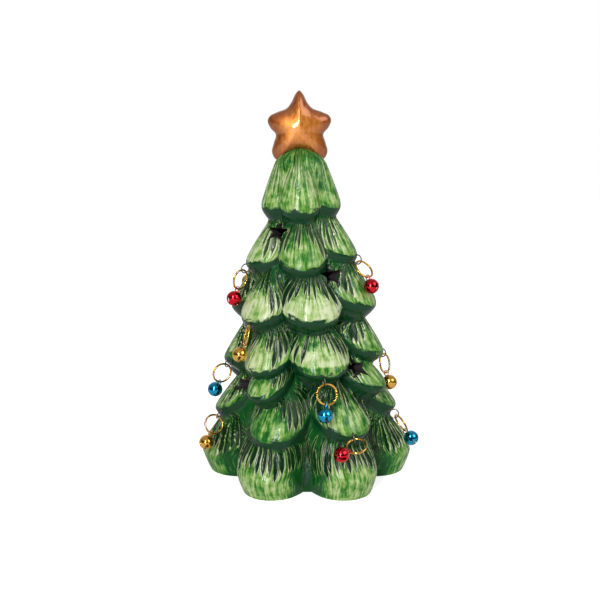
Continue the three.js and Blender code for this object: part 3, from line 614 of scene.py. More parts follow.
@dataclass(frozen=True)
class CopperLustre(Finish):
    """Pearly copper-gold paint under a clear glaze."""

    name: str = "copper lustre"
    rim: Colour = (0.340, 0.070, 0.006)
    body: Colour = (0.640, 0.170, 0.010)
    light: Colour = (0.920, 0.420, 0.080)

    def wire(self, graph: Graph, shader: bpy.types.NodeInputs, effects: Effects) -> None:
        """Darker rims and brushed lights under a clear coat."""
        here = graph.here()
        turned = graph.stretch(here, (900.0, 900.0, 350.0))
        brush = graph.place(effects.brush, At=turned, Across=1.0, Along=1.0)
        swell = graph.attribute("swell")
        face = graph.ramp(swell, 0.05, 0.75)
        colour = graph.mix(face, rgba(self.rim), rgba(self.body))
        streak = graph.mul(brush.outputs["Streaks"], graph.mad(face, 0.35, 0.15))
        graph.feed(shader["Base Color"], graph.mix(streak, colour, rgba(self.light)))
        uneven = graph.place(effects.uneven, Wave=170.0, Grain=1800.0)
        grain = graph.mad(brush.outputs["Streaks"], 0.12, uneven.outputs["Height"])
        graph.feed(shader["Normal"], graph.bump(grain, 0.12 * MM, 0.6))
        rough = graph.mad(brush.outputs["Streaks"], 0.14, 0.30)
        graph.feed(shader["Roughness"], rough)
        shader["Metallic"].default_value = 0.55
        shader["Coat Weight"].default_value = 1.0
        shader["Coat Roughness"].default_value = 0.09


@dataclass(frozen=True)
class Metal(Finish):
    """A polished, anodised or drawn metal."""

    name: str
    colour: Colour
    dark: Colour
    roughness: float
    coat: float = 0.0

    def wire(self, graph: Graph, shader: bpy.types.NodeInputs, effects: Effects) -> None:
        """Polish with worn spots."""
        wear = graph.place(effects.wear, Size=420.0, Amount=0.6).outputs["Wear"]
        graph.feed(shader["Base Color"], graph.mix(wear, rgba(self.colour), rgba(self.dark)))
        uneven = graph.place(effects.uneven, Wave=500.0, Grain=4000.0)
        rough = graph.mad(wear, 0.10, self.roughness)
        graph.feed(shader["Roughness"], rough)
        graph.feed(shader["Normal"], graph.bump(uneven.outputs["Height"], 0.03 * MM, 0.5))
        shader["Metallic"].default_value = 1.0
        shader["Coat Weight"].default_value = self.coat
        shader["Coat Roughness"].default_value = 0.04


@dataclass(frozen=True)
class Plastic(Finish):
    """A moulded plastic."""

    name: str
    colour: Colour
    worn_and_lit: Colour
    roughness: float
    glow: float = 0.0

    def wire(self, graph: Graph, shader: bpy.types.NodeInputs, effects: Effects) -> None:
        """Moulded grain with worn spots."""
        wear = graph.place(effects.wear, Size=110.0, Amount=0.5).outputs["Wear"]
        graph.feed(shader["Base Color"], graph.mix(wear, rgba(self.colour), rgba(self.worn_and_lit)))
        uneven = graph.place(effects.uneven, Wave=260.0, Grain=2600.0)
        graph.feed(shader["Roughness"], graph.mad(wear, 0.15, self.roughness))
        grain = graph.mad(uneven.outputs["Grain"], 0.5, uneven.outputs["Height"])
        graph.feed(shader["Normal"], graph.bump(grain, 0.04 * MM, 0.5))
        shader["Subsurface Weight"].default_value = self.glow
        shader["Subsurface Radius"].default_value = (0.002, 0.002, 0.002)


@dataclass(frozen=True)
class BareClay(Finish):
    """Unglazed clay of the hollow and the foot; the hollow's is painted near-black as shade."""

    name: str
    colour: Colour
    stain: Colour

    def wire(self, graph: Graph, shader: bpy.types.NodeInputs, effects: Effects) -> None:
        """Rough clay with stains."""
        wear = graph.place(effects.wear, Size=160.0, Amount=0.9).outputs["Wear"]
        graph.feed(shader["Base Color"], graph.mix(wear, rgba(self.colour), rgba(self.stain)))
        uneven = graph.place(effects.uneven, Wave=300.0, Grain=1800.0)
        height = graph.add(uneven.outputs["Height"], uneven.outputs["Grain"])
        graph.feed(shader["Normal"], graph.bump(height, 0.08 * MM, 0.7))
        shader["Roughness"].default_value = 0.8


# Mesh helpers


def loft_mesh(name: str, rings: np.ndarray) -> bpy.types.Mesh:
    """A closed mesh through rings of equally many points, with a fan at each end.

    Args:
        name: The mesh's name.
        rings: Points in millimetres, ring by ring from the bottom up, counter-clockwise from above.

    Returns:
        The mesh in metres.
    """
    rows, count = rings.shape[:2]
    points = rings.reshape(-1, 3)
    points = np.vstack([points, rings[0].mean(axis=0), rings[-1].mean(axis=0)]) * MM
    turn = np.arange(count)
    after = (turn + 1) % count
    base = (np.arange(rows - 1) * count)[:, None]
    above = base + count
    quads = np.stack([base + turn, base + after, above + after, above + turn], axis=-1).reshape(-1, 4)
    first, last = rows * count, rows * count + 1
    top = (rows - 1) * count
    low_fan = np.stack([np.full(count, first), after, turn], axis=-1)
    high_fan = np.stack([np.full(count, last), top + turn, top + after], axis=-1)
    faces = quads.tolist() + low_fan.tolist() + high_fan.tolist()
    mesh = bpy.data.meshes.new(name)
    mesh.from_pydata(points.tolist(), [], faces)
    return mesh


def add_piece(name: str, mesh: bpy.types.Mesh, *finishes: bpy.types.Material) -> bpy.types.Object:
    """Adds an object for a mesh.

    Args:
        name: The object's name.
        mesh: Its mesh, in place.
        finishes: Its materials, in slot order.

    Returns:
        The new object.
    """
    mesh.name = name
    piece = bpy.data.objects.new(name, mesh)
    bpy.context.scene.collection.objects.link(piece)
    for finish in finishes:
        mesh.materials.append(finish)
    return piece


def smooth(mesh: bpy.types.Mesh, angle: Optional[float] = None) -> None:
    """Shades a mesh smooth, with sharp edges over an angle in degrees.

    Args:
        mesh: The mesh.
        angle: Edges over this angle stay sharp; without it none do.
    """
    if angle is None:
        mesh.shade_smooth()
    else:
        mesh.set_sharp_from_angle(angle=math.radians(angle))


def cut(piece: bpy.types.Object, cutters: Iterable[bpy.types.Object]) -> None:
    """Cuts other closed meshes out of a piece, and removes them.

    Args:
        piece: The piece that is kept.
        cutters: The closed meshes.
    """
    for cutter in cutters:
        step = piece.modifiers.new("cut", "BOOLEAN")
        step.operation = "DIFFERENCE"
        step.solver = "MANIFOLD"
        step.object = cutter
        apply_modifiers(piece)
        bpy.data.objects.remove(cutter)


def apply_modifiers(piece: bpy.types.Object) -> None:
    """Replaces a piece's mesh by its evaluated one and clears its modifiers."""
    graph = bpy.context.evaluated_depsgraph_get()
    seen = piece.evaluated_get(graph)
    mesh = bpy.data.meshes.new_from_object(seen, preserve_all_data_layers=True, depsgraph=graph)
    old = piece.data
    piece.modifiers.clear()
    piece.data = mesh
    mesh.name = piece.name
    bpy.data.meshes.remove(old)


def mesh_from(work: bmesh.types.BMesh, name: str) -> bpy.types.Mesh:
    """Writes an edited mesh out under a name and frees it."""
    mesh = bpy.data.meshes.new(name)
    work.to_mesh(mesh)
    work.free()
    return mesh


def lathe(name: str, profile: Sequence[tuple[float, float]], at: Sequence[float] = (0, 0),
          turns: int = 72) -> bpy.types.Mesh:
    """Turns a profile round an upright axis.

    Args:
        name: The mesh's name.
        profile: Radius and height in millimetres, from the axis and back to it.
        at: The axis' place in millimetres.
        turns: Number of steps round.

    Returns:
        A closed mesh in metres.
    """
    work = bmesh.new()
    rings = []
    for radius, height in profile:
        if radius == 0:
            rings.append([work.verts.new(Vector((at[0], at[1], height)) * MM)])
            continue
        ring = []
        for i in range(turns):
            a = 2 * math.pi * i / turns
            point = Vector((at[0] + radius * math.cos(a), at[1] + radius * math.sin(a), height))
            ring.append(work.verts.new(point * MM))
        rings.append(ring)
    for low, high in zip(rings, rings[1:]):
        for i in range(turns):
            j = (i + 1) % turns
            corners = (low[i % len(low)], low[j % len(low)], high[j % len(high)], high[i % len(high)])
            corners = list(dict.fromkeys(corners))
            if len(corners) > 2:
                work.faces.new(corners)
    bmesh.ops.recalc_face_normals(work, faces=work.faces)
    return mesh_from(work, name)


def block(name: str, size: Sequence[float], centre: Sequence[float]) -> bpy.types.Mesh:
    """A plain block.

    Args:
        name: The mesh's name.
        size: Its three sizes in millimetres.
        centre: Its centre in millimetres.

    Returns:
        A closed mesh in metres.
    """
    work = bmesh.new()
    bmesh.ops.create_cube(work, size=1.0)
    bmesh.ops.scale(work, vec=Vector(size) * MM, verts=work.verts)
    bmesh.ops.translate(work, vec=Vector(centre) * MM, verts=work.verts)
    return mesh_from(work, name)


def read(items: bpy.types.bpy_prop_collection, name: str, width: int = 1,
         kind: type = float) -> np.ndarray:
    """One property of all items of a mesh.

    Args:
        items: Its vertices, corners or faces.
        name: The property's name.
        width: How many numbers each item has.
        kind: Their type.

    Returns:
        One row for each item, or one number where width is 1.
    """
    values = np.empty(len(items) * width, dtype=kind)
    items.foreach_get(name, values)
    return values.reshape(-1, width) if width > 1 else values


def store(mesh: bpy.types.Mesh, name: str, domain: str, values: np.ndarray) -> None:
    """Stores one number for each point or corner of a mesh."""
    layer = mesh.attributes.new(name, "FLOAT", domain)
    layer.data.foreach_set("value", np.ascontiguousarray(values, dtype=np.float32))


def node_points(node: str) -> np.ndarray:
    """Corner points of a CAD node, in metres."""
    return read(frame["nodes"][node].data.vertices, "co", 3)


def joint(name: str) -> dict:
    """A joint of the frame by its name."""
    return next(j for j in frame["record"]["behaviour"]["joints"] if j["name"] == name)


HOUSING_LOW, HOUSING_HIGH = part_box("led_housing")
ORIGIN = ((HOUSING_LOW + HOUSING_HIGH) / 2) / MM


# Ceramic tree


@dataclass(frozen=True)
class Bough:
    """One bough of a tier: its direction in degrees and how it differs from its tier.

    pale is how much pale glaze is brushed on its belly, from 0 to 1.
    """

    azimuth: float
    wide: float = 1.0
    drop: float = 0.0
    out: float = 0.0
    pale: float = 0.6


@dataclass(frozen=True)
class Tier:
    """A ring of boughs, in millimetres.

    edge is the height of the tips' lower edge, reach their distance from the axis, half their half
    width and length the height over which they melt into the trunk. droop is how far the edge
    rises from tip to notch and tilt how far it rises to the right. slope and narrow are the shares
    of reach and width lost at the top, and under is how far the surface draws in under the edge.
    carved is how deep the needle strokes go, from 0 to 1.
    """

    edge: float
    reach: float
    half: float
    length: float
    droop: float
    tilt: float
    slope: float
    narrow: float
    under: float
    boughs: tuple[Bough, ...]
    carved: float = 1.0


TIERS = (
    Tier(109.4, 16.8, 8.8, 30, 8, 0.3, 0.70, 0.5, 0.9, (
        Bough(-2, drop=1, pale=0.55), Bough(72, pale=0.35), Bough(144), Bough(216), Bough(286, pale=0.5)),
        carved=0.35),
    Tier(89.0, 23.6, 10.6, 24, 11, 1.6, 0.66, 0.5, 0.9, (
        Bough(1, drop=1.6, pale=0.5), Bough(70, pale=0.45), Bough(144), Bough(216),
        Bough(289, out=0.6, pale=0.8)), carved=0.9),
    Tier(70.2, 30.5, 12.2, 26, 15, 1.8, 0.54, 0.5, 1.1, (
        Bough(9, wide=1.12, drop=2.4, pale=1.0), Bough(64, out=1.5, pale=0.5), Bough(112), Bough(162),
        Bough(213), Bough(261), Bough(312, drop=2, pale=1.0))),
    Tier(49.4, 33.8, 12.0, 27, 15, 2.4, 0.52, 0.5, 1.4, (
        Bough(16, wide=1.12, drop=2, pale=0.9), Bough(72, pale=0.5), Bough(122), Bough(172), Bough(222),
        Bough(270), Bough(323, wide=0.95, pale=0.85))),
    Tier(39.4, 36.4, 10.4, 21, 12, 0.6, 0.6, 0.45, 1.3, (
        Bough(-33, wide=0.92, drop=0.6, pale=0.45), Bough(60, wide=1.08, out=0.6, pale=0.5), Bough(150),
        Bough(240))),
    Tier(25.6, 38.4, 12.4, 26, 14, 0, 0.54, 0.5, 1.4, (
        Bough(-24, wide=1.04, drop=3.2, pale=0.3), Bough(33, wide=1.08, drop=1.2, pale=0.5),
        Bough(90, wide=0.92, drop=-1.6, pale=0.4), Bough(150), Bough(210), Bough(269, wide=0.92, pale=0.4))),
    Tier(8.0, 44.8, 13.4, 30, 0, 0, 0.5, 0.12, 0.52, (
        Bough(-30, out=-1.2, pale=0.55), Bough(30, out=-1.2, pale=0.55), Bough(92, pale=0.4), Bough(152),
        Bough(208), Bough(268, pale=0.4))),
)
BOUGHS = tuple((tier, tip) for tier in TIERS for tip in tier.boughs)
WINDOWS = ((-43, 101.4), (34, 85.0), (-72, 38.6), (48, 48.6), (180, 100.0), (137, 84.0), (237, 63.0),
           (147, 47.0), (196, 31.0))


def soft_max(a: np.ndarray, b: np.ndarray, k: float) -> np.ndarray:
    """Smooth maximum of two lengths, blended over the length k."""
    h = np.clip(0.5 + 0.5 * (a - b) / k, 0, 1)
    return b + (a - b) * h + k * h * (1 - h)


@dataclass
class CeramicTree:
    """The hollow cast tree, its carving, its windows and its foot, in millimetres.

    slope_power and narrow_power say how fast a bough loses reach and width towards its top, and
    tip_least is the share of the squared radius that is left at the very tip. The core is the
    trunk: its radius at the foot, what it loses for each millimetre of height, and the flare and
    toe near the table. The rounds and creases are the lengths over which surfaces blend. away is
    where a point lies over the edge that no bough carries. first_row and near give the rows round
    each tier's edge, by their height over it, and row_gap their least distance.
    """

    body_top: float = 134.0
    crown_round: float = 6.0
    core_foot: float = 26.5
    core_taper: float = 0.165
    core_flare: float = 5.2
    flare_height: float = 9.0
    flare_spread: float = 11.0
    lean: float = -0.022
    wall: float = 3.0
    look_down: float = 4.0
    look_up: float = 3.0
    foot_width: float = 4.6
    floor_low: float = 6.0
    floor_high: float = 9.0
    cavity_top: float = 121.0
    port: float = 37.0
    edge_round: float = 3.6
    foot_round: float = 4.4
    edge_crease: float = 1.0
    foot_crease: float = 5.0
    window_tip: float = 5.0
    window_notch: float = 1.9
    window_pitch: float = 12.0
    window_deep: float = 0.75
    window_shake: tuple[float, float] = (0.04, 0.05)
    carve_depth: float = 0.40
    carve_low: float = 4.0
    carve_rise: float = 3.0
    narrow_power: float = 1.3
    slope_power: float = 1.2
    tip_least: float = 0.02
    columns: int = 540
    toe_slope: float = 0.3
    toe_height: float = 7.0
    away: float = 40.0
    row_gap: float = 0.12
    tier_rows: int = 9
    top_rows: int = 14
    first_row: float = 4.4
    near: tuple[float, ...] = (3.6, 2.9, 2.3, 1.8, 1.4, 1.0, 0.6, 0.2, -0.2, -0.7, -1.3, -2.0, -2.8, -3.8)
    tuck_depth: float = 7.0
    window_front: float = 8.0

    def section(self, azimuth: np.ndarray, rise: np.ndarray, tier: Tier, tip: Bough) -> Triple:
        """Section of one bough at a share of its length.

        Args:
            azimuth: Directions in degrees.
            rise: Share of the bough's length, from 0 at the edge to 1.
            tier: The bough's tier.
            tip: The bough.

        Returns:
            The outer side's distance from the axis, the place across from -1 to 1 and the crown,
            which is 1 amid the bough and 0 outside it.
        """
        turn = np.radians((azimuth - tip.azimuth + 180) % 360 - 180)
        half = tier.half * tip.wide * (1 - tier.narrow * rise ** self.narrow_power)
        reach = (tier.reach + tip.out) * (1 - tier.slope * rise ** self.slope_power)
        centre = np.maximum(reach - half, 0.5)
        across = centre * np.sin(turn) / half
        crown = np.where(np.cos(turn) > 0, np.sqrt(np.clip(1 - across ** 2, 0, 1)), 0)
        return centre * np.cos(turn) + half * crown, across, crown

    def lowest(self, tier: Tier, tip: Bough) -> float:
        """Height of a bough's lower edge at its tip."""
        return tier.edge - tip.drop + tier.tilt * math.sin(math.radians(tip.azimuth))

    def bough(self, azimuth: np.ndarray, height: np.ndarray, tier: Tier, tip: Bough) -> Triple:
        """Surface of one bough.

        Args:
            azimuth: Directions in degrees.
            height: Heights in millimetres.
            tier: The bough's tier.
            tip: The bough.

        Returns:
            Distance from the axis, negative outside the bough; the place across from -1 to 1; and
            the height over the bough's scalloped edge.
        """
        lowest = self.lowest(tier, tip)
        rise = np.clip((height - lowest) / tier.length, 0, 1)
        outer, across, crown = self.section(azimuth, rise, tier, tip)
        edge = lowest + tier.droop * (1 - crown)
        under = outer - tier.under * (edge - height)
        rounding = self.foot_round if tier.droop == 0 else self.edge_round
        radius = -soft_max(-outer, -under, rounding)
        return np.where((rise >= 1) | (crown == 0), -5.0, radius), across, height - edge

    def radius(self, azimuth: np.ndarray, height: np.ndarray) -> np.ndarray:
        """Distance of the outer surface from the leaning axis, without carving."""
        flare = np.exp(-((height - self.flare_height) / self.flare_spread) ** 2)
        toe = self.toe_slope * np.maximum(self.toe_height - height, 0)
        total = self.core_foot - self.core_taper * height + self.core_flare * flare - toe
        for tier, tip in BOUGHS:
            crease = self.foot_crease if tier.droop == 0 else self.edge_crease
            total = soft_max(total, self.bough(azimuth, height, tier, tip)[0], crease)
        crown = np.clip((height - self.body_top + self.crown_round) / self.crown_round, 0, 1)
        return total * np.sqrt(np.maximum(1 - crown ** 2, self.tip_least))

    def edge_height(self, azimuth: np.ndarray, tier: Tier) -> np.ndarray:
        """Height of a tier's scalloped edge."""
        edges = []
        for tip in tier.boughs:
            crown = self.section(azimuth, np.zeros_like(azimuth), tier, tip)[2]
            scallop = self.lowest(tier, tip) + tier.droop * (1 - crown)
            edges.append(np.where(crown == 0, tier.edge + tier.droop, scallop))
        return np.min(edges, axis=0)

    def rows(self, azimuth: np.ndarray) -> np.ndarray:
        """Heights of the mesh's rows, from the table up; rows follow each tier's edge.

        Args:
            azimuth: Directions of the columns in degrees.

        Returns:
            One row of heights for each ring of the mesh.
        """
        shares = (0.0, 0.02, 0.07, 0.15, 0.27, 0.43, 0.65, 1.0)
        heights = [np.full_like(azimuth, self.body_top - self.crown_round * s) for s in shares]
        for tier in TIERS:
            edge = self.edge_height(azimuth, tier)
            last = heights[-1]
            first = np.minimum(edge + self.first_row, last - self.row_gap)
            steps = self.top_rows if tier is TIERS[0] else self.tier_rows
            for step in range(1, steps + 1):
                heights.append(last + (first - last) * step / steps)
            for over in self.near:
                heights.append(np.minimum(edge + over, heights[-1] - self.row_gap))
        last = heights[-1]
        for share in (0.25, 0.5, 0.75, 1.0):
            heights.append(last * (1 - share))
        return np.array(heights[::-1])

    def chart(self, azimuth: np.ndarray, height: np.ndarray) -> Triple:
        """Which bough carries each point, and where on it the point lies.

        Args:
            azimuth: Directions in degrees.
            height: Heights in millimetres.

        Returns:
            The bough's number, the place across as an angle share from -1 to 1, and the height over
            the bough's edge.
        """
        best = np.full_like(azimuth, -1.0)
        number = np.zeros_like(azimuth)
        across = np.zeros_like(azimuth)
        along = np.full_like(azimuth, self.away)
        for index, (tier, tip) in enumerate(BOUGHS, 1):
            radius, side, over = self.bough(azimuth, height, tier, tip)
            wins = radius > best
            best = np.where(wins, radius, best)
            number = np.where(wins, index, number)
            across = np.where(wins, self.angle_share(side), across)
            along = np.where(wins, over, along)
        return number, across, along

    def angle_share(self, side: np.ndarray) -> np.ndarray:
        """A place across a bough from -1 to 1 as a share of its quarter turn."""
        return np.arcsin(np.clip(side, -1, 1)) / (math.pi / 2)

    def touches(self) -> np.ndarray:
        """Pale glaze and depth of carving by the bough's number, which starts at 1."""
        return np.array([(0.5, 1.0)] + [(tip.pale, tier.carved) for tier, tip in BOUGHS])

    def on_bough(self, number: np.ndarray, azimuth: np.ndarray, height: np.ndarray) -> Pair:
        """Place across and height over the edge of points, on given boughs."""
        across = np.zeros_like(azimuth)
        along = np.full_like(azimuth, self.away)
        for index, (tier, tip) in enumerate(BOUGHS, 1):
            here = number == index
            _, side, over = self.bough(azimuth[here], height[here], tier, tip)
            across[here] = self.angle_share(side)
            along[here] = over
        return across, along

    def point(self, radius: np.ndarray, azimuth: np.ndarray, height: np.ndarray) -> np.ndarray:
        """Points on the leaning axis' cylinder coordinates, in the row frame, in millimetres."""
        a = np.radians(azimuth)
        x = radius * np.sin(a) + self.lean * height + ORIGIN[0]
        y = -radius * np.cos(a) + ORIGIN[1]
        return np.stack(np.broadcast_arrays(x, y, height), axis=-1)

    def polar(self, points: np.ndarray) -> Pair:
        """Direction in degrees and height in millimetres of points in metres."""
        x, y, z = (points / MM).T
        return np.degrees(np.arctan2(x - ORIGIN[0] - self.lean * z, -(y - ORIGIN[1]))), z

    def cast(self, finish: GreenGlaze) -> np.ndarray:
        """Rings of the carved outer surface."""
        azimuth = np.arange(self.columns) * 360.0 / self.columns
        height = self.rows(azimuth)
        around = np.broadcast_to(azimuth, height.shape)
        radius = self.radius(around, height)
        number, across, along = self.chart(around, height)
        arrays = Arrays()
        depth = finish.strokes(arrays, finish.fan(arrays, across, along), along, number)[0]
        depth = depth * self.touches()[number.astype(int), 1]
        rings = self.point(radius, around, height)
        side = np.roll(rings, -1, axis=1) - np.roll(rings, 1, axis=1)
        up = np.gradient(rings, axis=0)
        normal = np.cross(side, up)
        normal /= np.maximum(np.linalg.norm(normal, axis=-1, keepdims=True), 1e-9)
        fade = np.clip((height[..., None] - self.carve_low) / self.carve_rise, 0, 1)
        return rings - normal * (depth[..., None] * self.carve_depth * fade)

    def least(self, azimuth: np.ndarray, low: float, high: float) -> np.ndarray:
        """Least outer radius near each direction between two heights."""
        found = [self.radius(azimuth + turn, np.full_like(azimuth, h))
                 for turn in (-9, -4.5, 0, 4.5, 9) for h in np.linspace(low, high, 5)]
        return np.min(found, axis=0)

    def hollow(self) -> list[bpy.types.Object]:
        """Cutters for the cavity, the foot recess, the port and the peg hole."""
        azimuth = np.arange(72) * 5.0
        heights = np.linspace(self.floor_high, self.cavity_top, 30)
        cavity = []
        for h in heights:
            inner = self.least(azimuth, h - self.look_down, h + self.look_up) - self.wall
            cavity.append(self.point(inner, azimuth, np.full_like(azimuth, h)))
        foot = self.least(azimuth, 0, self.floor_low) - self.foot_width
        recess = [self.point(foot, azimuth, np.full_like(azimuth, h)) for h in (-1.0, self.floor_low)]
        low, high = self.floor_low - 1, self.floor_high + 1
        profile = [(0, low), (self.port / 2, low), (self.port / 2, high), (0, high)]
        return [add_piece("cavity", loft_mesh("cavity", np.array(cavity))),
                add_piece("recess", loft_mesh("recess", np.array(recess))),
                add_piece("port", lathe("port", profile, ORIGIN[:2]))]

    def window(self, azimuth: float, height: float) -> bpy.types.Object:
        """Cutter of one star window, slightly uneven as if cut by hand.

        Args:
            azimuth: The window's direction in degrees.
            height: Its centre's height in millimetres.

        Returns:
            A closed star-shaped bar through the wall.
        """
        radius = float(self.radius(np.array([float(azimuth)]), np.array([float(height)]))[0])
        random = np.random.default_rng(int(azimuth % 360) * 10 + int(height))
        angles = np.arange(10) * math.pi / 5 + random.normal(0, self.window_shake[0], 10)
        lengths = np.where(np.arange(10) % 2 == 0, self.window_tip, self.window_notch)
        lengths = lengths * random.normal(1, self.window_shake[1], 10)
        outline = np.stack([-lengths * np.sin(angles), lengths * np.cos(angles)], axis=-1)
        depth = radius * self.window_deep + self.window_front
        pitch, turn = math.radians(self.window_pitch), math.radians(azimuth)
        spin = Matrix.Rotation(turn, 4, "Z") @ Matrix.Rotation(math.pi / 2 - pitch, 4, "X")
        centre = self.point(np.array(radius), np.array(float(azimuth)), np.array(float(height)))
        rings = []
        for z in (self.window_front - depth, self.window_front):
            ring = [spin @ Vector((x, y, z)) + Vector(centre) for x, y in outline]
            rings.append([list(p) for p in ring])
        return add_piece("window", loft_mesh("window", np.array(rings)))

    def build(self, finish: GreenGlaze, effects: Effects) -> bpy.types.Object:
        """Makes the tree: carved shell, hollow, windows, chart and materials.

        Args:
            finish: The green glaze.
            effects: The shared node groups.

        Returns:
            The tree's object.
        """
        # The hollow's clay is painted near-black as shade, since little light reaches inside.
        dark = BareClay("clay inside painted dark as shade", (0.030, 0.022, 0.024), (0.012, 0.010, 0.012))
        pale = BareClay("bare clay of the foot", (0.70, 0.62, 0.50), (0.52, 0.44, 0.34))
        materials = [kind.make(effects) for kind in (finish, dark, pale)]
        piece = add_piece("ceramic_tree", loft_mesh("ceramic_tree", self.cast(finish)))
        mark = piece.data.attributes.new("outside", "INT", "FACE")
        mark.data.foreach_set("value", np.ones(len(piece.data.polygons), dtype=np.int32))
        cut(piece, self.hollow())
        cut(piece, [self.window(*spot) for spot in WINDOWS])
        mesh = piece.data
        mesh.materials.clear()
        for material in materials:
            mesh.materials.append(material)
        self.lay_chart(mesh)
        smooth(mesh, 50)
        return piece

    def lay_chart(self, mesh: bpy.types.Mesh) -> None:
        """Writes the bough chart and the painted shadow's mask under the tier above, and sorts faces by
        material.

        On the chart the boughs lie side by side, CHART_STEP apart.

        Args:
            mesh: The finished mesh of the tree.
        """
        azimuth, height = self.polar(read(mesh.vertices, "co", 3))
        face_azimuth, face_height = self.polar(read(mesh.polygons, "center", 3))
        number = self.chart(face_azimuth, face_height)[0]
        totals = read(mesh.polygons, "loop_total", kind=np.int32)
        corners = read(mesh.loops, "vertex_index", kind=np.int32)
        corner_number = np.repeat(number, totals)
        across, along = self.on_bough(corner_number, azimuth[corners], height[corners])
        layer = mesh.uv_layers.new(name="bough")
        place = np.stack([across + CHART_STEP * corner_number, along], axis=-1)
        layer.uv.foreach_set("vector", place.ravel())
        touches = self.touches()[corner_number.astype(int)]
        for column, name in enumerate(("pale", "carved")):
            store(mesh, name, "CORNER", touches[:, column])
        # Painted shadow's mask: near 1 just under each tier's edge, fading over tuck_depth below it.
        tier_shadow = np.zeros_like(height)
        for tier in TIERS[:-1]:
            gap = self.edge_height(azimuth, tier) - height
            shade = np.clip(1 - gap / self.tuck_depth, 0, 1) ** 1.5
            tier_shadow = np.maximum(tier_shadow, np.where(gap > -0.5, shade, 0))
        store(mesh, "tier_shadow", "POINT", tier_shadow)
        outside = np.zeros(len(mesh.polygons), dtype=np.int32)
        if "outside" in mesh.attributes:
            outside = read(mesh.attributes["outside"].data, "value", kind=np.int32)
        index = np.where(outside == 1, 0, np.where(face_height < self.floor_high - 0.5, 2, 1))
        index = np.where((outside == 1) & (face_height < 0.05), 2, index).astype(np.int32)
        mesh.polygons.foreach_set("material_index", index)


# Star


@dataclass
class StarTopper:
    """The puffed star on the tip, in millimetres.

    puff says how the outline shrinks as the face swells, and swing_share how near the middle it
    ends. core is the radius that the rings melt into, and roof the height of the ridge that runs
    up the face, with half its width and where it starts and is whole.
    """

    height: float = 140.9
    depth: float = 12.4
    turn: float = -0.6
    axis: float = -3.1
    outline: tuple[tuple[float, float], ...] = (
        (0, 14.7), (1.5, 13.3), (3.1, 10.2), (5.0, 7.9), (8.6, 6.5), (11.7, 4.9), (12.5, 3.0), (11.3, 0.2),
        (9.4, -2.2), (10.2, -5.4), (11.0, -8.8), (10.0, -11.4), (8.6, -12.3), (5.6, -10.6), (0, -8.4))
    rim_points: int = 240
    rings: int = 26
    core: float = 9.5
    roof: float = 0.8
    roof_half: float = 4.5
    roof_low: float = -3.0
    roof_rise: float = 8.0
    swing_share: float = 0.985
    puff: float = 0.8

    def rim(self) -> np.ndarray:
        """Points along the whole outline, evenly spaced."""
        right = [np.array(p) for p in self.outline]
        left = [np.array((-x, z)) for x, z in self.outline[1:-1][::-1]]
        knots = np.array(right + left)
        count = len(knots)
        fine = []
        for i in range(count):
            p0, p1, p2, p3 = (knots[(i + k) % count] for k in (-1, 0, 1, 2))
            t1 = np.linalg.norm(p1 - p0) ** 0.5
            t2 = t1 + np.linalg.norm(p2 - p1) ** 0.5
            t3 = t2 + np.linalg.norm(p3 - p2) ** 0.5
            for t in np.linspace(t1, t2, 40, endpoint=False):
                a1 = p0 * (t1 - t) / t1 + p1 * t / t1
                a2 = p1 * (t2 - t) / (t2 - t1) + p2 * (t - t1) / (t2 - t1)
                a3 = p2 * (t3 - t) / (t3 - t2) + p3 * (t - t2) / (t3 - t2)
                b1 = a1 * (t2 - t) / t2 + a2 * t / t2
                b2 = a2 * (t3 - t) / (t3 - t1) + a3 * (t - t1) / (t3 - t1)
                fine.append(b1 * (t2 - t) / (t2 - t1) + b2 * (t - t1) / (t2 - t1))
        fine = np.array(fine)
        closed = np.vstack([fine, fine[:1]])
        run = np.concatenate([[0], np.cumsum(np.linalg.norm(np.diff(closed, axis=0), axis=1))])
        at = np.linspace(0, run[-1], self.rim_points, endpoint=False)
        return np.stack([np.interp(at, run, closed[:, 0]), np.interp(at, run, closed[:, 1])], axis=-1)

    def build(self, effects: Effects) -> bpy.types.Object:
        """Makes the star.

        Args:
            effects: The shared node groups.

        Returns:
            The star's object.
        """
        rim = self.rim()
        round_rim = rim / np.linalg.norm(rim, axis=1, keepdims=True) * self.core
        swings = np.linspace(-1, 1, 2 * self.rings + 1) * (math.pi / 2) * self.swing_share
        rings = []
        swell = []
        for swing in swings:
            shrink = math.cos(swing) ** self.puff
            melt = (1 - shrink) ** self.puff
            flat = rim * (shrink * (1 - melt)) + round_rim * (shrink * melt)
            roof = np.maximum(0, 1 - np.abs(flat[:, 0]) / self.roof_half)
            roof = roof * np.clip((flat[:, 1] - self.roof_low) / self.roof_rise, 0, 1)
            y = -(self.depth / 2 - self.roof) * math.sin(swing) - np.sign(swing) * self.roof * roof * melt
            rings.append(np.stack([flat[:, 0], y, flat[:, 1]], axis=-1))
            swell += [1 - math.cos(swing)] * len(rim)
        rings = np.array(rings)
        turn = math.radians(self.turn)
        x, z = rings[..., 0].copy(), rings[..., 2].copy()
        rings[..., 0] = x * math.cos(turn) + z * math.sin(turn) + self.axis + ORIGIN[0]
        rings[..., 2] = z * math.cos(turn) - x * math.sin(turn) + self.height
        rings[..., 1] += ORIGIN[1]
        mesh = loft_mesh("glazed_star", rings)
        swell += [1.0, 1.0]
        store(mesh, "swell", "POINT", swell)
        piece = add_piece("glazed_star", mesh, CopperLustre().make(effects))
        smooth(mesh)
        return piece


# Chains


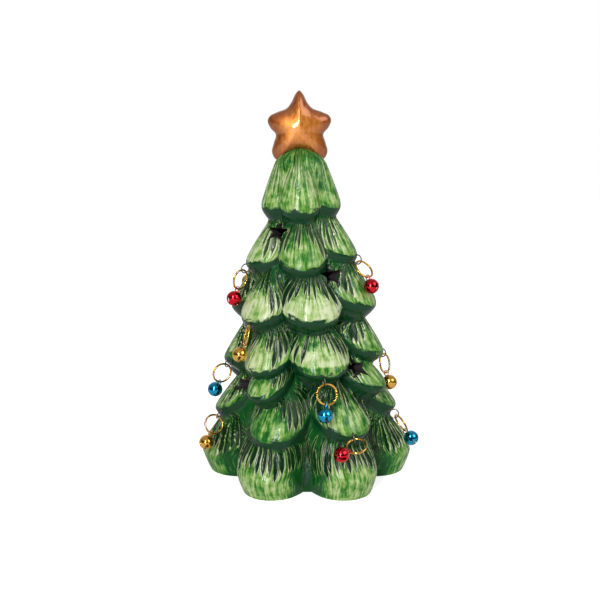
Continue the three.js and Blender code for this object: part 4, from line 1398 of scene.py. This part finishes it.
@dataclass
class Chains:
    """Wire loops, jump rings, jingle bells and their pellets, in millimetres.

    ridge_at and ridge_width are where the bell's seam stands out, as angles in radians. slit_end is
    a share of the bell's radius.
    """

    count: int = 16
    loop_outside: float = 4.2
    loop_wire: float = 0.5
    shank: float = 3.4
    ring_outside: float = 8.6
    ring_wire: float = 0.8
    seat: float = 0.3
    bell_outside: float = 6.2
    bell_wall: float = 0.35
    bell_drop: float = 4.0
    eye_outside: float = 2.4
    eye_wire: float = 0.4
    slit: float = 0.55
    hole: float = 1.15
    seam: float = 0.10
    ridge_at: float = -0.02
    ridge_width: float = 0.055
    slit_end: float = 0.80
    slit_top: float = 0.9
    hole_top: float = 0.5
    bell_coat: float = 0.4
    colours: tuple[Glaze, ...] = field(default_factory=lambda: tuple(
        Glaze(s["material_slot"]) for s in frame["record"]["subparts"]
        if s["node"].startswith("jingle_bell_")))

    def wire_tree(self) -> bpy.types.NodeTree:
        """Geometry nodes that bend a round wire to an arc and give it its material."""
        tree = bpy.data.node_groups.new("bent wire", "GeometryNodeTree")
        sockets = (("Geometry", "Geometry"), ("Bend radius", "Float"), ("Wire radius", "Float"),
                   ("Open angle", "Float"), ("Steps", "Int"), ("Sides", "Int"), ("Finish", "Material"))
        for name, kind in sockets:
            tree.interface.new_socket(name, in_out="INPUT", socket_type="NodeSocket" + kind)
        tree.interface.new_socket("Geometry", in_out="OUTPUT", socket_type="NodeSocketGeometry")
        kinds = {"start": "NodeGroupInput", "arc": "GeometryNodeCurveArc",
                 "whole": "GeometryNodeCurvePrimitiveCircle", "opens": "FunctionNodeCompare",
                 "route": "GeometryNodeSwitch", "section": "GeometryNodeCurvePrimitiveCircle",
                 "sweep": "ShaderNodeMath", "half": "ShaderNodeMath", "skin": "GeometryNodeCurveToMesh",
                 "real": "GeometryNodeRealizeInstances", "dress": "GeometryNodeSetMaterial",
                 "end": "NodeGroupOutput"}
        nodes = {name: tree.nodes.new(kind) for name, kind in kinds.items()}
        nodes["sweep"].operation = "SUBTRACT"
        nodes["sweep"].inputs[0].default_value = 2 * math.pi
        nodes["half"].operation = "MULTIPLY"
        nodes["half"].inputs[1].default_value = 0.5
        nodes["opens"].operation = "GREATER_THAN"
        nodes["opens"].inputs["B"].default_value = 0.001
        nodes["route"].input_type = "GEOMETRY"
        nodes["skin"].inputs["Fill Caps"].default_value = True
        links = (
            ("start", "Bend radius", "whole", "Radius"), ("start", "Steps", "whole", "Resolution"),
            ("start", "Open angle", "opens", "A"), ("opens", 0, "route", "Switch"),
            ("whole", "Curve", "route", "False"), ("arc", "Curve", "route", "True"),
            ("start", "Open angle", "sweep", 1), ("start", "Open angle", "half", 0),
            ("start", "Bend radius", "arc", "Radius"), ("start", "Steps", "arc", "Resolution"),
            ("sweep", 0, "arc", "Sweep Angle"), ("half", 0, "arc", "Start Angle"),
            ("start", "Wire radius", "section", "Radius"), ("start", "Sides", "section", "Resolution"),
            ("route", "Output", "skin", "Curve"), ("section", "Curve", "skin", "Profile Curve"),
            ("skin", "Mesh", "real", "Geometry"), ("real", "Geometry", "dress", "Geometry"),
            ("start", "Finish", "dress", "Material"), ("dress", "Geometry", "end", "Geometry"),
        )
        for source, out, target, into in links:
            tree.links.new(nodes[source].outputs[out], nodes[target].inputs[into])
        return tree

    def bent_wire(self, tree: bpy.types.NodeTree, outside: float, wire: float, opening: float, steps: int,
                  sides: int, finish: bpy.types.Material) -> bpy.types.Mesh:
        """A round of wire in the XY plane, round the origin.

        Args:
            tree: The geometry node tree.
            outside: Outer diameter in millimetres.
            wire: Wire diameter in millimetres.
            opening: Angle left open, in degrees.
            steps: Steps along the wire.
            sides: Sides of the wire.
            finish: Its material.

        Returns:
            The plain mesh.
        """
        holder = add_piece("wire", bpy.data.meshes.new("wire"))
        step = holder.modifiers.new("wire", "NODES")
        step.node_group = tree
        given = {"Bend radius": (outside - wire) / 2 * MM, "Wire radius": wire / 2 * MM,
                 "Open angle": math.radians(opening), "Steps": steps, "Sides": sides, "Finish": finish}
        for item in tree.interface.items_tree:
            if item.item_type == "SOCKET" and item.in_out == "INPUT" and item.name in given:
                step[item.identifier] = given[item.name]
        apply_modifiers(holder)
        mesh = holder.data.copy()
        bpy.data.objects.remove(holder)
        smooth(mesh, 60)
        return mesh

    def spot(self, index: int) -> dict[str, Vector]:
        """Places and directions of one chain, read from the frame.

        Args:
            index: The chain's number from 1.

        Returns:
            Ring centre and normal, loop centre and directions, and the bell's centre and axes, in
            metres.
        """
        swing = joint(f"ring_swing_{index:02d}")
        tilt = joint(f"bell_swing_{index:02d}")
        rattle = joint(f"pellet_rattle_{index:02d}")
        hook = Vector(swing["pos_m"])
        normal = Vector(swing["axis"]).normalized()
        ring = Vector(node_points(f"jump_ring_{index:02d}").mean(axis=0))
        ring -= normal * (ring - hook).dot(normal)
        down = (ring - hook).normalized()
        up = Vector(rattle["axis"]).normalized()
        pivot = Vector(tilt["pos_m"])
        return {
            "normal": normal, "down": down, "up": up,
            "ring": hook + down * ((self.ring_outside - self.ring_wire) / 2
                                   - (self.loop_wire + self.ring_wire) / 2 - self.seat) * MM,
            "loop": hook - down * (self.loop_outside - self.loop_wire) / 2 * MM,
            "eye axis": Vector(tilt["axis"]).normalized(), "bell": pivot - up * self.bell_drop * MM,
        }

    def frame_of(self, x: Vector, z: Vector, at: Vector) -> Matrix:
        """Matrix that lays the X and Z axes on two directions, at a place."""
        z = z.normalized()
        x = (x - z * x.dot(z)).normalized()
        y = z.cross(x)
        turn = Matrix((x, y, z)).transposed().to_4x4()
        return Matrix.Translation(at) @ turn

    def bell_mesh(self, tree: bpy.types.NodeTree, finish: bpy.types.Material,
                  inside: bpy.types.Material) -> bpy.types.Mesh:
        """A jingle bell round the origin, with its eye up along Z in the XZ plane.

        Args:
            tree: The geometry node tree of bent wires.
            finish: The outer metal.
            inside: The dark inner side.

        Returns:
            The bell's mesh.
        """
        outer, inner = self.bell_outside / 2, self.bell_outside / 2 - self.bell_wall
        ball = outer - self.seam
        profile = [(0, -ball)]
        for i in range(1, 24):
            a = -math.pi / 2 + math.pi * i / 24
            ridge = self.seam * math.exp(-((a - self.ridge_at) / self.ridge_width) ** 2)
            profile.append(((ball + ridge) * math.cos(a), ball * math.sin(a)))
        profile.append((0, ball))
        body = add_piece("bell", lathe("bell", profile, turns=40))
        angles = np.linspace(-math.pi / 2, math.pi / 2, 15)
        hollow = [(inner * math.cos(a), inner * math.sin(a)) for a in angles]
        hollow[0], hollow[-1] = (0, -inner), (0, inner)
        cutters = [add_piece("hollow", lathe("hollow", hollow, turns=28))]
        end = self.slit_end * outer
        for sides in ((2 * end, self.slit), (self.slit, 2 * end)):
            slit = block("slit", (*sides, 2 * outer), (0, 0, -outer - self.slit_top))
            cutters.append(add_piece("slit", slit))
        low, high, half = -outer - 1, -self.hole_top, self.hole / 2
        for spot in ((end, 0), (-end, 0), (0, end), (0, -end)):
            hole = lathe("hole", [(0, low), (half, low), (half, high), (0, high)], spot, 20)
            cutters.append(add_piece("hole", hole))
        body.data.materials.append(finish)
        cutters[0].data.materials.append(inside)
        cut(body, cutters)
        wire = self.bent_wire(tree, self.eye_outside, self.eye_wire, 0.0, 24, 10, finish)
        lift = Matrix.Translation((0, 0, (outer + self.eye_outside / 2 - self.eye_wire) * MM))
        wire.transform(lift @ Matrix.Rotation(math.pi / 2, 4, "X"))
        work = bmesh.new()
        work.from_mesh(body.data)
        work.from_mesh(wire)
        mesh = mesh_from(work, "bell")
        mesh.materials.append(finish)
        mesh.materials.append(inside)
        bpy.data.objects.remove(body)
        smooth(mesh, 35)
        return mesh

    def build(self, effects: Effects) -> None:
        """Makes every chain and lets each piece ride on its body.

        Args:
            effects: The shared node groups.
        """
        steel = Metal("dark loop wire", (0.23, 0.21, 0.19), (0.10, 0.09, 0.08), 0.28).make(effects)
        brass = Metal("ring brass", (0.90, 0.50, 0.10), (0.62, 0.26, 0.04), 0.14).make(effects)
        shot = Metal("pellet steel", (0.62, 0.62, 0.60), (0.35, 0.33, 0.30), 0.25).make(effects)
        inside = Metal("bell inside", (0.16, 0.12, 0.08), (0.05, 0.04, 0.03), 0.45).make(effects)
        tints = {
            Glaze.RED: ("red anodised", (0.80, 0.006, 0.022), (0.50, 0.004, 0.012), 0.13),
            Glaze.BLUE: ("blue anodised", (0.010, 0.36, 0.66), (0.006, 0.24, 0.50), 0.13),
            Glaze.GOLD: ("gold anodised", (0.90, 0.50, 0.08), (0.70, 0.32, 0.04), 0.15),
        }
        finishes = {glaze: Metal(*tint, self.bell_coat).make(effects) for glaze, tint in tints.items()}
        tree = self.wire_tree()
        loop_round = self.bent_wire(tree, self.loop_outside, self.loop_wire, 0.0, 40, 12, steel)
        ring_round = self.bent_wire(tree, self.ring_outside, self.ring_wire, 3.0, 72, 16, brass)
        bells = {glaze: self.bell_mesh(tree, finish, inside) for glaze, finish in finishes.items()}
        loops = bmesh.new()
        for index in range(1, self.count + 1):
            spot = self.spot(index)
            spread = spot["normal"].cross(spot["down"])
            self.add_loop(loops, loop_round, spot, spread)
            ring = ring_round.copy()
            ring.transform(self.frame_of(-spread, spot["normal"], spot["ring"]))
            piece = add_piece(f"wire_ring_{index:02d}", ring)
            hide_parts(f"jump_ring_{index:02d}")
            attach(piece, f"ring_{index:02d}")
            bell = bells[self.colours[index - 1]].copy()
            bell.transform(self.frame_of(spot["up"].cross(spot["eye axis"]), spot["up"], spot["bell"]))
            piece = add_piece(f"bell_ball_{index:02d}", bell)
            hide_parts(f"jingle_bell_{index:02d}")
            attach(piece, f"bell_{index:02d}")
            self.add_pellet(index, shot)
            LOG.info("chain %d hangs at %s", index, tuple(round(v, 4) for v in spot["loop"]))
        mesh = mesh_from(loops, "wire_loops")
        piece = add_piece("wire_loops", mesh, steel)
        smooth(mesh, 60)
        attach(piece, "tree")

    def add_loop(self, work: bmesh.types.BMesh, round_mesh: bpy.types.Mesh, spot: dict[str, Vector],
                 spread: Vector) -> None:
        """Adds one wire loop with its shank to the mesh of all loops.

        Args:
            work: The mesh that is added to.
            round_mesh: A round of wire.
            spot: The chain's places.
            spread: Normal of the loop's plane.
        """
        bent = round_mesh.copy()
        bent.transform(self.frame_of(spot["down"], spread, spot["loop"]))
        work.from_mesh(bent)
        bpy.data.meshes.remove(bent)
        root = spot["loop"] - spot["down"] * (self.loop_outside - self.loop_wire) / 2 * MM
        inwards = Vector((ORIGIN[0] * MM - root.x, ORIGIN[1] * MM - root.y, 0)).normalized()
        middle = root + inwards * (self.shank / 2 - self.loop_wire / 2) * MM
        bmesh.ops.create_cone(work, cap_ends=True, segments=12, radius1=self.loop_wire / 2 * MM,
                              radius2=self.loop_wire / 2 * MM, depth=self.shank * MM,
                              matrix=self.frame_of(Vector((0, 0, 1)), inwards, middle))

    def add_pellet(self, index: int, finish: bpy.types.Material) -> None:
        """Adds the loose pellet of one bell.

        Args:
            index: The chain's number from 1.
            finish: Its metal.
        """
        node = f"bell_pellet_{index:02d}"
        low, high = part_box(node)
        work = bmesh.new()
        bmesh.ops.create_icosphere(work, subdivisions=3, radius=(high - low).x / 2)
        bmesh.ops.translate(work, vec=(low + high) / 2, verts=work.verts)
        mesh = mesh_from(work, node)
        piece = add_piece(f"shot_{index:02d}", mesh, finish)
        smooth(mesh)
        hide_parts(node)
        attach(piece, f"pellet_{index:02d}")


# Light unit


@dataclass
class LightUnit:
    """The battery light in the base: its CAD nodes get their plastics and metals."""

    def build(self, effects: Effects) -> None:
        """Dresses the light unit's nodes.

        Args:
            effects: The shared node groups.
        """
        white = Plastic("white moulding", (0.80, 0.79, 0.75), (0.62, 0.60, 0.54), 0.40)
        frosted = Plastic("frosted cap", (0.86, 0.86, 0.82), (0.78, 0.77, 0.72), 0.55, 0.3)
        black = Plastic("black moulding", (0.02, 0.02, 0.022), (0.05, 0.05, 0.05), 0.40)
        board = Plastic("board lacquer", (0.020, 0.115, 0.045), (0.03, 0.15, 0.06), 0.30)
        lamp = Plastic("clear lamp", (0.85, 0.80, 0.62), (0.80, 0.75, 0.58), 0.08, 0.5)
        nickel = Metal("nickel plate", (0.66, 0.65, 0.62), (0.46, 0.45, 0.42), 0.22)
        leaf = Metal("contact leaf", (0.80, 0.60, 0.28), (0.55, 0.38, 0.14), 0.24)
        nodes = {white: ("led_housing", "base_cap", "battery_door"), nickel: ("door_screw", "coin_cell"),
                 leaf: ("cell_contact",), board: ("circuit_board",), lamp: ("led_lamp",),
                 frosted: ("light_diffuser",), black: ("switch_slider",)}
        for finish, names in nodes.items():
            material = finish.make(effects)
            for name in names:
                node = frame["nodes"][name]
                node.data.materials.clear()
                node.data.materials.append(material)
                LOG.info("dressed %s", name)


# Studio


@dataclass
class Studio:
    """Camera, floor, world and lamps."""

    focal_px: float = 950.0
    image_px: float = 600.0
    distance: float = 380.0
    height: float = 150.0
    pitch: float = 11.6
    camera_x: float = -2.9
    floor_size: float = 3.0
    ceiling: float = 0.34
    backdrop: float = 0.55
    room: float = 0.04
    floor_glow: float = 0.66
    floor_grey: float = 0.86
    aim: float = 0.07

    def camera(self) -> None:
        """Sets the camera at the photograph's view."""
        lens = bpy.data.cameras.new("camera")
        lens.sensor_width = 36.0
        lens.sensor_fit = "HORIZONTAL"
        lens.lens = self.focal_px / self.image_px * lens.sensor_width
        lens.clip_start = 0.01
        eye = bpy.data.objects.new("camera", lens)
        bpy.context.scene.collection.objects.link(eye)
        eye.location = Vector((self.camera_x + ORIGIN[0], -self.distance + ORIGIN[1], self.height)) * MM
        eye.rotation_euler = (math.radians(90 - self.pitch), 0, 0)
        bpy.context.scene.camera = eye

    def world(self) -> None:
        """Soft light from above and behind, with a dimmer room in front; the camera sees white."""
        world = bpy.data.worlds.new("studio")
        bpy.context.scene.world = world
        world.use_nodes = True
        graph = Graph(world.node_tree)
        backdrop = graph.nodes["Background"]
        path = graph.nodes.new("ShaderNodeLightPath")
        seen = graph.math("MAXIMUM", path.outputs["Is Camera Ray"], path.outputs["Is Transmission Ray"])
        _, back, up = graph.split(graph.nodes.new("ShaderNodeTexCoord").outputs["Generated"])
        ceiling = graph.mul(graph.ramp(up, 0.1, 0.9), self.ceiling)
        wall = graph.mul(graph.ramp(back, -0.1, 0.8), self.backdrop)
        room = graph.add(graph.math("MAXIMUM", ceiling, wall), self.room)
        strength = graph.math("MAXIMUM", seen, room)
        backdrop.inputs["Color"].default_value = (1, 1, 1, 1)
        graph.feed(backdrop.inputs["Strength"], strength)

    def floor(self) -> None:
        """Pale floor that keeps the shadow and can be looked through from below."""
        material = bpy.data.materials.new("pale floor")
        material.use_nodes = True
        graph = Graph(material.node_tree)
        graph.nodes.clear()
        diffuse = graph.nodes.new("ShaderNodeBsdfDiffuse")
        diffuse.inputs["Color"].default_value = rgba((self.floor_grey,) * 3)
        glow = graph.nodes.new("ShaderNodeEmission")
        both = graph.nodes.new("ShaderNodeAddShader")
        clear = graph.nodes.new("ShaderNodeBsdfTransparent")
        choose = graph.nodes.new("ShaderNodeMixShader")
        end = graph.nodes.new("ShaderNodeOutputMaterial")
        path = graph.nodes.new("ShaderNodeLightPath")
        side = graph.nodes.new("ShaderNodeNewGeometry")
        graph.feed(glow.inputs["Strength"], graph.mul(path.outputs["Is Camera Ray"], self.floor_glow))
        for source, target in ((diffuse.outputs[0], both.inputs[0]), (glow.outputs[0], both.inputs[1]),
                               (side.outputs["Backfacing"], choose.inputs[0]),
                               (both.outputs[0], choose.inputs[1]), (clear.outputs[0], choose.inputs[2]),
                               (choose.outputs[0], end.inputs[0])):
            graph.links.new(source, target)
        half = self.floor_size / 2
        mesh = bpy.data.meshes.new("floor")
        corners = [(-half, -half, 0), (half, -half, 0), (half, half, 0), (-half, half, 0)]
        mesh.from_pydata(corners, [], [(0, 1, 2, 3)])
        add_piece("floor", mesh, material)

    def lamp(self, name: str, azimuth: float, elevation: float, away: float, size: tuple[float, float],
             power: float) -> None:
        """Adds a soft box that looks at the middle of the tree.

        Args:
            name: The lamp's name.
            azimuth: Degrees from the front, + towards the right.
            elevation: Degrees over the horizon.
            away: Distance in metres.
            size: Width and height in metres.
            power: Power in watts.
        """
        light = bpy.data.lights.new(name, "AREA")
        light.shape = "RECTANGLE"
        light.size, light.size_y = size
        light.energy = power
        lamp = bpy.data.objects.new(name, light)
        bpy.context.scene.collection.objects.link(lamp)
        a, e = math.radians(azimuth), math.radians(elevation)
        back = Vector((math.sin(a) * math.cos(e), -math.cos(a) * math.cos(e), math.sin(e)))
        lamp.location = Vector((0, 0, self.aim)) + back * away
        lamp.rotation_euler = (-back).to_track_quat("-Z", "Y").to_euler()

    def build(self) -> None:
        """Sets up the whole studio."""
        self.camera()
        self.world()
        self.floor()
        self.lamp("strip box", -17, 24, 1.0, (0.07, 0.9), 6.9)
        self.lamp("side box", 60, 35, 1.2, (0.7, 0.7), 3.8)
        bpy.context.scene.view_settings.view_transform = "Standard"


def main() -> None:
    """Builds the studio and every sub-assembly."""
    logging.basicConfig(level=logging.INFO, format="%(name)s: %(message)s")
    Studio().build()
    effects = Effects()
    tree = CeramicTree().build(GreenGlaze(), effects)
    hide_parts("tree_body")
    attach(tree, "tree")
    LOG.info("tree has %d faces", len(tree.data.polygons))
    star = StarTopper().build(effects)
    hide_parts("star_topper")
    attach(star, "tree")
    Chains().build(effects)
    LightUnit().build(effects)
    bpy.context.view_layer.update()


if __name__ == "__main__":
    main()
